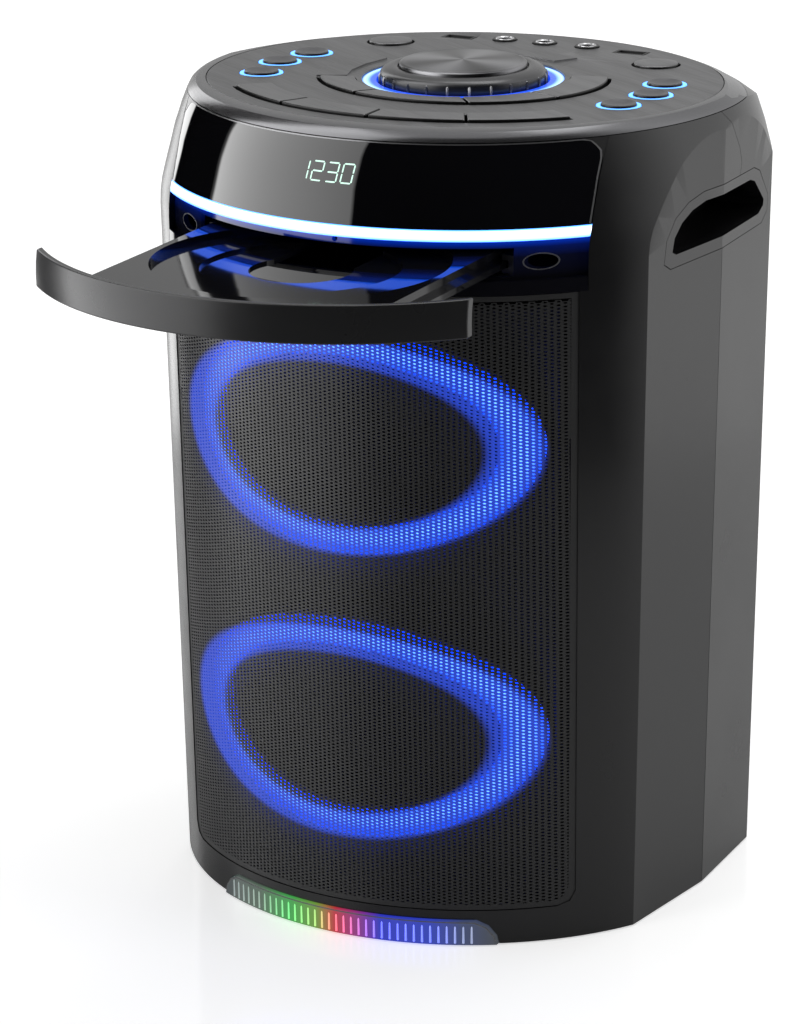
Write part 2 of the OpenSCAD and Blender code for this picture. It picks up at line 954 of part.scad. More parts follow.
press_angle = 20;
pinion_base = pinion_r * cos(press_angle);
back_gap = 0.6;
function inv(t) = tan(t) - t * PI / 180;
function tooth_half(r) = (90 / pinion_teeth) - back_gap / 4 / pinion_r * 180 / PI
  + (inv(press_angle) - inv(acos(min(1, pinion_base / r)))) * 180 / PI;
tip_r = pinion_r + 0.95 * tooth_m;
root_r = pinion_r - 1.25 * tooth_m;
tooth_radii = [root_r, pinion_base, pinion_base + 0.4, pinion_r, pinion_r + 0.5 * tooth_m, tip_r];
pinion_plan = [for (i = [0:pinion_teeth - 1])
  let (c = 360 / pinion_teeth * (i + 0.5))
  for (k = [-5:6])
    let (j = k <= 0 ? k + 5 : 6 - k, side = k <= 0 ? -1 : 1, r = tooth_radii[j])
    let (t = c + side * tooth_half(max(r, pinion_base)))
    [r * cos(t), r * sin(t)]];

module drive_gear() {
  color([0.85, 0.85, 0.82])
  translate([pinion_x, pinion_y, 0])
    difference() {
      union() {
        translate([0, 0, 290.9])
          linear_extrude(2.9)
            polygon(pinion_plan);
        translate([0, 0, 283])
          cylinder(r = 6, h = 8, $fn = 40);
        translate([0, 0, 285.4])
          cylinder(r = wheel_r, h = 4, $fn = 72);
      }
      translate([0, 0, 280])
        cylinder(r = 2 + run, h = 20, $fn = 32);
      translate([0, 0, belt_z - 0.5])
        difference() {
          cylinder(r = wheel_r + 1, h = 2.2, $fn = 72);
          translate([0, 0, -1])
            cylinder(r = wheel_r - 1.8, h = 5, $fn = 72);
        }
    }
}

module motor_pulley() {
  color([0.8, 0.75, 0.5])
  translate([pinion_x, pinion_y + belt_reach, 0])
    difference() {
      union() {
        translate([0, 0, 285.4])
          cylinder(r = pulley_r, h = 4, $fn = 40);
        translate([0, 0, chassis_low - gap - 10])
          cylinder(r = 1, h = 18, $fn = 24);
      }
      translate([0, 0, belt_z - 0.5])
        difference() {
          cylinder(r = pulley_r + 1, h = 2.2, $fn = 40);
          translate([0, 0, -1])
            cylinder(r = pulley_r - 2, h = 5, $fn = 40);
        }
    }
}

rack_pitch = PI * tooth_m;
rack_first = pinion_y - rack_pitch * 34;
rack_teeth = 47;
rack_root = 1.25 * tooth_m;
rack_tip = 0.95 * tooth_m;
rack_half = rack_pitch / 4 - back_gap / 4;
rack_plan = concat(
  [[rack_x + 4.6, rack_first - 2.5], [rack_x + 4.6, rack_first + rack_pitch * rack_teeth + 2.5]],
  [[rack_x + rack_root, rack_first + rack_pitch * rack_teeth + 2.5]],
  [for (i = [rack_teeth:-1:0]) let (c = rack_first + rack_pitch * i)
    for (k = [0:3])
      let (e = k == 0 || k == 3 ? rack_root : -rack_tip, side = k < 2 ? 1 : -1)
      [rack_x + e, c + side * (rack_half + e * tan(press_angle))]],
  [[rack_x + rack_root, rack_first - 2.5]]
);

module disc_tray() {
  color([0.02, 0.02, 0.022])
  difference() {
    union() {
      intersection() {
        translate([-tray_half, -260, tray_low])
          cube([2 * tray_half, 260 + tray_rear, tray_top - tray_low]);
        translate([0, -tray_in, 0])
          dome(wall + gap);
      }
      for (s = [-1, 1])
        translate([s > 0 ? tray_half - 1 : -flange_half, -214, 293])
          cube([flange_half - tray_half + 1, 214 + tray_rear, 2.5]);
      translate([0, 0, rack_low])
        linear_extrude(tray_low - rack_low + 0.5)
          polygon(rack_plan);
    }
    translate([0, disc_y, tray_top - disc_recess])
      cylinder(r = disc_r, h = 10, $fn = 96);
    translate([0, disc_y, tray_top - disc_recess - 1.2])
      cylinder(r = small_disc_r, h = 10, $fn = 96);
    translate([0, disc_y, tray_low - 5])
      cylinder(r = 21, h = 20, $fn = 60);
    translate([-18, disc_y, tray_low - 5])
      cube([36, disc_r - 2, 20]);
  }
}

module tray_front() {
  color([0.5, 0.5, 0.52])
  union() {
    translate([0, -tray_in, 0])
      intersection() {
        front_band(0, wall, panel_low, panel_top, panel_half);
        front_prism([
          [panel_half, panel_low + 4], [panel_half - 1.2, panel_low + 1.2],
          [panel_half - 4, panel_low], [-panel_half + 4, panel_low],
          [-panel_half + 1.2, panel_low + 1.2], [-panel_half, panel_low + 4],
          [-panel_half, panel_top - 4], [-panel_half + 1.2, panel_top - 1.2],
          [-panel_half + 4, panel_top], [panel_half - 4, panel_top],
          [panel_half - 1.2, panel_top - 1.2], [panel_half, panel_top - 4],
        ], -big, 0);
      }
    for (s = [-1, 1])
      translate([s * pin_x, -tray_in - 97, pin_z])
        intersection() {
          rotate([90, 0, 0])
            cylinder(r = pin_r, h = 14, $fn = 24);
          translate([-s * pin_x, 97, -pin_z])
            dome(1);
        }
  }
}

module turntable() {
  color([0.1, 0.1, 0.1])
  translate([0, spin_y, 0])
    union() {
      translate([0, 0, 288.6])
        cylinder(r = 14, h = 2, $fn = 60);
      translate([0, 0, 290])
        cylinder(r1 = 7.4, r2 = 6, h = 3.6, $fn = 48);
      translate([0, 0, chassis_low - 5])
        cylinder(r = 1, h = 15, $fn = 24);
      translate([0, 0, 285])
        cylinder(r = 5, h = 4, $fn = 40);
    }
}

module optical_sled() {
  color([0.3, 0.3, 0.32])
  translate([0, spin_y + 30, 0])
    difference() {
      union() {
        translate([-18, -10, 284.6])
          cube([36, 20, 5]);
        translate([-8, -9, 283])
          cube([16, 18, 3]);
        translate([0, -4, 289])
          cylinder(r = 4, h = 3.2, $fn = 32);
      }
      for (s = [-1, 1])
        translate([s * rod_x, 20, rod_z])
          rotate([90, 0, 0])
            cylinder(r = rod_r + run, h = 40, $fn = 32);
    }
}

module disc_clamp() {
  color([0.15, 0.15, 0.16])
  translate([0, spin_y, 0])
    union() {
      translate([0, 0, 300.9])
        cylinder(r = clamp_r, h = 2.2, $fn = 60);
      translate([0, 0, 302])
        cylinder(r = 11.6, h = 5, $fn = 60);
      translate([0, 0, bridge_low + bridge_t + 0.4])
        cylinder(r = clamp_r, h = 1.6, $fn = 60);
    }
}

module amplifier_board() {
  color([0.05, 0.25, 0.12])
  union() {
    translate([-66, -14, 12])
      cube([132, 88, 1.6]);
    translate([-58, 10, 13.5])
      cube([40, 34, 26]);
    for (x = [4, 22])
      translate([x, 20, 13.5])
        cylinder(r = 7.5, h = 26, $fn = 32);
    translate([-10, 54, 13.5])
      cube([66, 3, 34]);
    for (x = [-10:8:54])
      translate([x, 54, 13.5])
        cube([2, 16, 34]);
    translate([38, -6, 13.5])
      cube([20, 30, 8]);
  }
}

module power_inlet() {
  color([0.03, 0.03, 0.03])
  difference() {
    intersection() {
      body_solid(0);
      translate([-inlet_w / 2, rear_face - 22, inlet_z - inlet_h / 2])
        cube([inlet_w, 40, inlet_h]);
    }
    translate([-6.8, rear_face - 16, inlet_z - 4])
      cube([13.6, 40, 8]);
  }
}

module case_screws() {
  color([0.5, 0.5, 0.5])
  union() {
    for (s = deck_screws)
      rotate([0, 0, s[0]])
        translate([s[1], 0, deck_top - 11]) {
          cylinder(r = screw_r, h = 10.8, $fn = 24);
          translate([0, 0, 9.2 + 0.4])
            cylinder(r = 2.9, h = 1.2, $fn = 24);
        }
    for (p = base_screws)
      translate([p[0], p[1], 0.8]) {
        cylinder(r = screw_r, h = 13, $fn = 24);
        cylinder(r = 2.9, h = 1.1, $fn = 24);
      }
  }
}

module volume_knob() {
  color([0.1, 0.1, 0.11])
  translate([0, knob_y, 0])
    difference() {
      union() {
        rotate_extrude($fn = 96)
          polygon([
            [0, knob_low + 1.5], [30, knob_low + 1.5], [30, knob_low], [knob_r, knob_low],
            [knob_r, plate_z + 3], [knob_r - 2, plate_z + 4.6],
            [30.5, plate_z + 5.4], [27.8, plate_z + 5.4], [27.8, plate_z + 4], [0, plate_z + 4],
          ]);
        translate([0, 0, board_top - board_t])
          cylinder(r = shaft_r, h = knob_low - board_top + board_t + 2, $fn = 48);
      }
      for (i = [0:35])
        rotate([0, 0, i * 10])
          translate([knob_r - 0.7, -0.6, knob_low - 1])
            cube([3, 1.2, 3.6 + plate_z - knob_low]);
    }
}

module knob_cap() {
  color([0.35, 0.35, 0.36])
  translate([0, knob_y, plate_z + 4 + gap])
    rotate_extrude($fn = 96)
      polygon([
        [0, 0], [27.3, 0], [27.3, knob_rise - 5.2], [26.4, knob_rise - 4.3], [0, knob_rise - 4.3],
      ]);
}

module button_stem(p) {
  translate([p[0], p[1], stem_low])
    cylinder(r = stem_r, h = cap_low - stem_low + 1, $fn = 28);
  translate([p[0], p[1], deck_low - gap - 0.1 - collar_t])
    cylinder(r = collar_r, h = collar_t, $fn = 28);
}

module round_cap(p, r) {
  color([0.2, 0.2, 0.21])
  union() {
    translate([p[0], p[1], cap_low])
      cylinder(r = r, h = cap_top - cap_low, $fn = 48);
    button_stem(p);
  }
}

module lit_button_left_rear() {
  round_cap([-lit_at[0][0], lit_at[0][1]], lit_r);
}

module lit_button_left_middle() {
  round_cap([-lit_at[1][0], lit_at[1][1]], lit_r);
}

module lit_button_left_front() {
  round_cap([-lit_at[2][0], lit_at[2][1]], lit_r);
}

module lit_button_right_rear() {
  round_cap(lit_at[0], lit_r);
}

module lit_button_right_middle() {
  round_cap(lit_at[1], lit_r);
}

module lit_button_right_front() {
  round_cap(lit_at[2], lit_r);
}

module round_button_left() {
  round_cap([-round_at[0], round_at[1]], round_r);
}

module round_button_right() {
  round_cap(round_at, round_r);
}

module arc_key(o, i, from, to, cy, stems) {
  edge = 0.4;
  turn = edge / ((o[0] + i[0]) / 2) * 180 / PI;
  color([0.25, 0.25, 0.26])
  union() {
    sector(
      [o[0] - edge, o[1] - edge], [i[0] + edge, i[1] + edge],
      from + turn, to - turn, cap_low, cap_top, cy
    );
    for (p = stems)
      button_stem(p);
  }
}

module outer_key(i) {
  arc_key(
    [plate_half_w * outer_big, plate_half_d * outer_big],
    [plate_half_w * outer_small, plate_half_d * outer_small],
    outer_cuts[i], outer_cuts[i + 1], plate_y, outer_stems(i)
  );
}

module inner_key(i) {
  arc_key(
    inner_out, [inner_in, inner_in],
    inner_cuts[i], inner_cuts[i + 1], knob_y, inner_stems(i)
  );
}

module outer_key_1() {
  outer_key(0);
}

module outer_key_2() {
  outer_key(1);
}

module outer_key_3() {
  outer_key(2);
}

module outer_key_4() {
  outer_key(3);
}

module inner_key_1() {
  inner_key(0);
}

module inner_key_2() {
  inner_key(1);
}

module inner_key_3() {
  inner_key(2);
}

module inner_key_4() {
  inner_key(3);
}

front_shell();
rear_cover();
top_rim();
top_deck();
control_plate();
display_window();
display_module();
light_strip();
tray_bay();
speaker_grille();
baffle();
upper_ring_light();
lower_ring_light();
upper_speaker();
lower_speaker();
upper_cone();
lower_cone();
base_plate();
rubber_feet();
base_lens();
base_light_board();
left_handle();
right_handle();
control_board();
knob_ring_light();
button_light_rings();
microphone_jacks();
usb_sockets();
disc_chassis();
loading_motor();
loading_belt();
amplifier_board();
power_inlet();
case_screws();
disc_tray();
tray_front();
drive_gear();
motor_pulley();
turntable();
optical_sled();
disc_clamp();
volume_knob();
knob_cap();
lit_button_left_rear();
lit_button_left_middle();
lit_button_left_front();
lit_button_right_rear();
lit_button_right_middle();
lit_button_right_front();
round_button_left();
round_button_right();
outer_key_1();
outer_key_2();
outer_key_3();
outer_key_4();
inner_key_1();
inner_key_2();
inner_key_3();
inner_key_4();
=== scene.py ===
"""Karaoke machine with a disc tray: its looks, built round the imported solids."""

from __future__ import annotations

import json
import logging
import math
from dataclasses import dataclass
from enum import Enum
from typing import Callable, Iterable, Sequence

import bmesh
import bpy
import numpy as np
from mathutils import Matrix, Vector

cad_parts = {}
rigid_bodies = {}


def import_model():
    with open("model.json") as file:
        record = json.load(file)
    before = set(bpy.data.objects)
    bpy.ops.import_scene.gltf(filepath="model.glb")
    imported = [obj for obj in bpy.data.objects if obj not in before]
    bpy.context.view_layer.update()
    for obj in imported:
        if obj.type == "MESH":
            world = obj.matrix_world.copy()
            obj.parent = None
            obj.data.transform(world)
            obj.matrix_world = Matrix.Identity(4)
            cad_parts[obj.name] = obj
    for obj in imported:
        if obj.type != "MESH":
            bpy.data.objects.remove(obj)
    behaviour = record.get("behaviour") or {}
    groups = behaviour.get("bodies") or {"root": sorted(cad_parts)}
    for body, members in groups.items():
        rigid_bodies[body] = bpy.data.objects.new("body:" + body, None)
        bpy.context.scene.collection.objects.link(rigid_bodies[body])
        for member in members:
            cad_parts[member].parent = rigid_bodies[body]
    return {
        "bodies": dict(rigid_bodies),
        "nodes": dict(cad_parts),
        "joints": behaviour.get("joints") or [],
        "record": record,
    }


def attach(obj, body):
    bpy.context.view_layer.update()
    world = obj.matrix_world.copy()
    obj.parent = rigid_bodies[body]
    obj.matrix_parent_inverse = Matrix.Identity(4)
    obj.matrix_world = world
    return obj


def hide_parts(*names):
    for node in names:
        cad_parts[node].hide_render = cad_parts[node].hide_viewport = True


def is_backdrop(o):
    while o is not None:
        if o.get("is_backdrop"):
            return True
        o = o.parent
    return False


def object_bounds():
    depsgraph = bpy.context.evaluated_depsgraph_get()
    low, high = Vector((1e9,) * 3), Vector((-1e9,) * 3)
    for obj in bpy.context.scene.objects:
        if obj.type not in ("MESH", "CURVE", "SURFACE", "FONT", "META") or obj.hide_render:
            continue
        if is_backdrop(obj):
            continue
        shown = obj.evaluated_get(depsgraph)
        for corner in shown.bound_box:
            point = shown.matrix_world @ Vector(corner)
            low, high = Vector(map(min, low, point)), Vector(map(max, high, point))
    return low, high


LOG = logging.getLogger("karaoke")
MM = 0.001
Point = tuple[float, float, float]
Colour = tuple[float, float, float]
Outline = list[tuple[float, float]]


# ---------------------------------------------------------------- shape of the body


class Form:
    """The walls of the body, as the solids have them (millimetres)."""

    HEIGHT = 347.0
    RADIUS = 130.6
    REF = 157.5
    LEAN = math.tan(math.radians(1.0))
    SHOULDER = (
        (52, 0), (47, 0.3), (42, 1.1), (36, 2.8), (27, 5.4), (19, 7.6),
        (10, 10.8), (4, 13.4), (1.6, 14.7), (0.5, 16), (0, 17.4),
    )
    CROWN_AXIS = -24.9
    CROWN = (
        (119.3, 0), (124, 1.8), (130, 5.2), (136.2, 9.7), (142, 16),
        (148, 26), (153, 38), (157, 52), (159, 67), (159, 347),
    )

    @classmethod
    def wall(cls, z: float) -> float:
        """Radius of the leaning wall at a height."""
        return cls.RADIUS + (z - cls.REF) * cls.LEAN

    @classmethod
    def dome(cls, z: float) -> float:
        """Radius of the front dome at a height, shoulder included."""
        below = cls.HEIGHT - z
        rows = [(h, i) for h, i in cls.SHOULDER][::-1]
        inset = float(np.interp(below, [r[0] for r in rows], [r[1] for r in rows]))
        return cls.wall(z) - inset

    @classmethod
    def dome_lean(cls, z: float) -> float:
        """Outward slope of the dome's wall at a height, smoothed between rows."""
        step = 2.5
        low, high = max(z - step, 0), min(z + step, cls.HEIGHT)
        return (cls.dome(high) - cls.dome(low)) / (high - low)

    @classmethod
    def crown_radius(cls, z: float) -> float:
        """Radius of the rear crown about its own axis at a height."""
        below = cls.HEIGHT - z
        return float(np.interp(below, [c[1] for c in cls.CROWN], [c[0] for c in cls.CROWN]))

    @classmethod
    def crown_lean(cls, z: float) -> float:
        """Outward slope of the crown's wall at a height."""
        step = 2.5
        low, high = max(z - step, 0), min(z + step, cls.HEIGHT)
        return (cls.crown_radius(high) - cls.crown_radius(low)) / (high - low)


def oval(a: float, b: float, count: int, cx: float = 0, cy: float = 0) -> Outline:
    """Points of an oval outline, anticlockwise."""
    steps = [2 * math.pi * i / count for i in range(count)]
    return [(cx + a * math.cos(t), cy + b * math.sin(t)) for t in steps]


def sector(outer: tuple[float, float], inner: tuple[float, float], start: float, end: float,
           cy: float, count: int = 20) -> Outline:
    """Outline of a ring segment between two ovals.

    Args:
        outer: Half sizes of the outer oval.
        inner: Half sizes of the inner oval.
        start: First angle in degrees.
        end: Last angle in degrees.
        cy: Centre of both ovals along Y.
        count: Steps along each arc.

    Returns:
        The outline, anticlockwise.
    """
    angles = [math.radians(start + (end - start) * i / count) for i in range(count + 1)]
    far = [(outer[0] * math.cos(t), cy + outer[1] * math.sin(t)) for t in angles]
    near = [(inner[0] * math.cos(t), cy + inner[1] * math.sin(t)) for t in angles[::-1]]
    return far + near


# ---------------------------------------------------------------- mesh helpers


def mesh_object(name: str, points: Sequence[Point], faces: Sequence[Sequence[int]],
                smooth_deg: float | None = None) -> bpy.types.Object:
    """Makes a mesh object from points in millimetres.

    Args:
        name: Name of the piece.
        points: Corners in millimetres, in the row frame.
        faces: Corner numbers of each face.
        smooth_deg: Edges flatter than this are shaded smooth; None leaves it flat.

    Returns:
        The new object, linked to the scene.
    """
    mesh = bpy.data.meshes.new(name)
    mesh.from_pydata([(x * MM, y * MM, z * MM) for x, y, z in points], [], faces)
    mesh.validate()
    piece = bpy.data.objects.new(name, mesh)
    bpy.context.scene.collection.objects.link(piece)
    if smooth_deg is not None:
        smooth(piece, smooth_deg)
    return piece


def smooth(piece: bpy.types.Object, degrees: float) -> None:
    """Shades a piece smooth and keeps edges sharper than the angle sharp."""
    form = bmesh.new()
    form.from_mesh(piece.data)
    limit = math.radians(degrees)
    for face in form.faces:
        face.smooth = True
    for edge in form.edges:
        edge.smooth = len(edge.link_faces) == 2 and edge.calc_face_angle(0) < limit
    form.to_mesh(piece.data)
    form.free()


def outward(piece: bpy.types.Object) -> None:
    """Merges doubles and turns all faces outwards."""
    form = bmesh.new()
    form.from_mesh(piece.data)
    bmesh.ops.remove_doubles(form, verts=form.verts, dist=1e-6)
    bmesh.ops.recalc_face_normals(form, faces=form.faces)
    form.to_mesh(piece.data)
    form.free()


def bevel(piece: bpy.types.Object, width: float, segments: int = 2, angle: float = 35) -> None:
    """Rounds the sharp edges of a piece.

    Args:
        piece: The piece.
        width: Width of the rounding in millimetres.
        segments: Steps across the rounding.
        angle: Edges sharper than this are rounded, in degrees.
    """
    rounding = piece.modifiers.new("rounded_edges", "BEVEL")
    rounding.width = width * MM
    rounding.segments = segments
    rounding.limit_method = "ANGLE"
    rounding.angle_limit = math.radians(angle)
    rounding.harden_normals = True
    rounding.miter_outer = "MITER_ARC"


def extruded(name: str, outline: Outline, low: float, high: float,
             smooth_deg: float = 30) -> bpy.types.Object:
    """Makes an upright plate from a plan outline.

    Args:
        name: Name of the piece.
        outline: Plan in x and y, anticlockwise, in millimetres.
        low: Height of the underside.
        high: Height of the top.
        smooth_deg: Edges flatter than this are shaded smooth.

    Returns:
        The new object.
    """
    count = len(outline)
    points = [(x, y, low) for x, y in outline] + [(x, y, high) for x, y in outline]
    faces = [list(range(count))[::-1], list(range(count, 2 * count))]
    faces += [[i, (i + 1) % count, count + (i + 1) % count, count + i] for i in range(count)]
    return mesh_object(name, points, faces, smooth_deg)


def turned(name: str, profile: Outline, centre: tuple[float, float], steps: int = 96,
           smooth_deg: float = 30) -> bpy.types.Object:
    """Makes a turned piece from a closed profile of radius and height.

    Args:
        name: Name of the piece.
        profile: Radius and height of each corner; a radius of 0 lies on the axis.
        centre: Place of the upright axis.
        steps: Corners round the axis.
        smooth_deg: Edges flatter than this are shaded smooth.

    Returns:
        The new object.
    """
    points: list[Point] = []
    rings: list[list[int]] = []
    for radius, z in profile:
        if radius == 0:
            rings.append([len(points)] * steps)
            points.append((centre[0], centre[1], z))
            continue
        rings.append(list(range(len(points), len(points) + steps)))
        for i in range(steps):
            t = 2 * math.pi * i / steps
            points.append((centre[0] + radius * math.cos(t), centre[1] + radius * math.sin(t), z))
    faces = []
    for a, b in zip(rings, rings[1:] + rings[:1]):
        for i in range(steps):
            j = (i + 1) % steps
            corners = [a[i], a[j], b[j], b[i]]
            unique = list(dict.fromkeys(corners))
            if len(unique) > 2:
                faces.append(unique)
    piece = mesh_object(name, points, faces)
    outward(piece)
    smooth(piece, smooth_deg)
    return piece


def front_band(name: str, half: float, low: float, high: float, inset: float, thick: float,
               columns: int = 96, rows: Sequence[float] | None = None,
               trim: Callable[[float], float] | None = None) -> bpy.types.Object:
    """Makes a strip of the front dome as a closed curved plate.

    Args:
        name: Name of the piece.
        half: Half width in millimetres.
        low: Height of the lower edge.
        high: Height of the upper edge.
        inset: Distance of the outer face behind the dome.
        thick: Thickness.
        columns: Steps across.
        rows: Heights of the rows, or None for even rows.
        trim: Half width at a height, or None for straight ends.

    Returns:
        The new object.
    """
    heights = list(rows) if rows is not None else list(np.linspace(low, high, 9))
    points: list[Point] = []
    for depth in (inset, inset + thick):
        for z in heights:
            radius = Form.dome(z) - depth
            reach = trim(z) if trim else half
            for i in range(columns + 1):
                share = 2 * i / columns - 1
                x = reach * share
                points.append((x, -math.sqrt(max(radius * radius - x * x, 1)), z))
    wide, tall = columns + 1, len(heights)
    back = wide * tall
    faces = []
    for j in range(tall - 1):
        for i in range(columns):
            a, b = j * wide + i, j * wide + i + 1
            c, d = b + wide, a + wide
            faces.append([a, b, c, d])
            faces.append([back + d, back + c, back + b, back + a])
    for i in range(columns):
        faces.append([i + 1, i, back + i, back + i + 1])
        top = (tall - 1) * wide
        faces.append([top + i, top + i + 1, back + top + i + 1, back + top + i])
    for j in range(tall - 1):
        a, d = j * wide, (j + 1) * wide
        faces.append([a, d, back + d, back + a])
        b, c = a + columns, d + columns
        faces.append([c, b, back + b, back + c])
    piece = mesh_object(name, points, faces)
    outward(piece)
    smooth(piece, 25)
    return piece


def solid_copy(name: str, node: bpy.types.Object, smooth_deg: float = 28) -> bpy.types.Object:
    """Copies a solid's mesh into a piece of its own, merged and shaded.

    Args:
        name: Name of the piece.
        node: The solid's object.
        smooth_deg: Edges flatter than this are shaded smooth.

    Returns:
        The new object.
    """
    piece = bpy.data.objects.new(name, node.data.copy())
    bpy.context.scene.collection.objects.link(piece)
    piece.data.materials.clear()
    form = bmesh.new()
    form.from_mesh(piece.data)
    bmesh.ops.remove_doubles(form, verts=form.verts, dist=2e-6)
    bmesh.ops.dissolve_degenerate(form, edges=form.edges, dist=1e-6)
    form.to_mesh(piece.data)
    form.free()
    smooth(piece, smooth_deg)
    return piece


FLAT_AREA = 4e-5  # square metres from which an upright face is shaded flat
UPRIGHT = 0.06  # largest vertical part of an upright face's normal
NEAR_SKIN = 0.8  # mm between a face's middle and the true surface
WITH_SKIN = 0.93  # how well a face's normal agrees with the true one
UNDER_SKIN = (-2, 7)  # mm under the dome where inner walls follow it
WITH_WALL = 0.987  # the same agreement for those inner walls
FRONT_Y = -40  # mm, the front part starts here


def body_normals(piece: bpy.types.Object) -> None:
    """Gives the corners of a wall piece the true normals of the dome and the crown.

    Large upright faces away from both keep their own normal.

    Args:
        piece: The wall piece, which is changed.
    """
    mesh = piece.data
    normals = [corner.vector.copy() for corner in mesh.corner_normals]
    for face in mesh.polygons:
        mid = face.center / MM
        reach = math.hypot(mid.x, mid.y)
        dome_way = Vector((mid.x, mid.y, -Form.dome_lean(mid.z) * reach)).normalized()
        crown_way = Vector((mid.x, mid.y - Form.CROWN_AXIS, 0))
        crown_reach = crown_way.length
        crown_way.z = -Form.crown_lean(mid.z) * crown_reach
        crown_way.normalize()
        depth = Form.dome(mid.z) - reach
        facing = face.normal.dot(dome_way)
        near = abs(depth) < NEAR_SKIN and abs(facing) > WITH_SKIN
        in_wall = UNDER_SKIN[0] < depth < UNDER_SKIN[1] and abs(facing) > WITH_WALL
        on_dome = near or (in_wall and mid.y < FRONT_Y)
        crown_facing = face.normal.dot(crown_way)
        on_crown = abs(Form.crown_radius(mid.z) - crown_reach) < NEAR_SKIN and crown_facing > WITH_SKIN
        if not (on_dome or on_crown):
            if face.area > FLAT_AREA and abs(face.normal.z) < UPRIGHT:
                for loop in face.loop_indices:
                    normals[loop] = face.normal.copy()
            continue
        for loop in face.loop_indices:
            place = mesh.vertices[mesh.loops[loop].vertex_index].co / MM
            if on_dome:
                way = Vector((place.x, place.y, -Form.dome_lean(place.z) * math.hypot(place.x, place.y)))
                way *= 1 if facing > 0 else -1
            else:
                way = Vector((place.x, place.y - Form.CROWN_AXIS, 0))
                way.z = -Form.crown_lean(place.z) * way.length
            normals[loop] = way.normalized()
    for face in mesh.polygons:
        face.use_smooth = True
    mesh.normals_split_custom_set([tuple(n) for n in normals])


# ---------------------------------------------------------------- shader groups


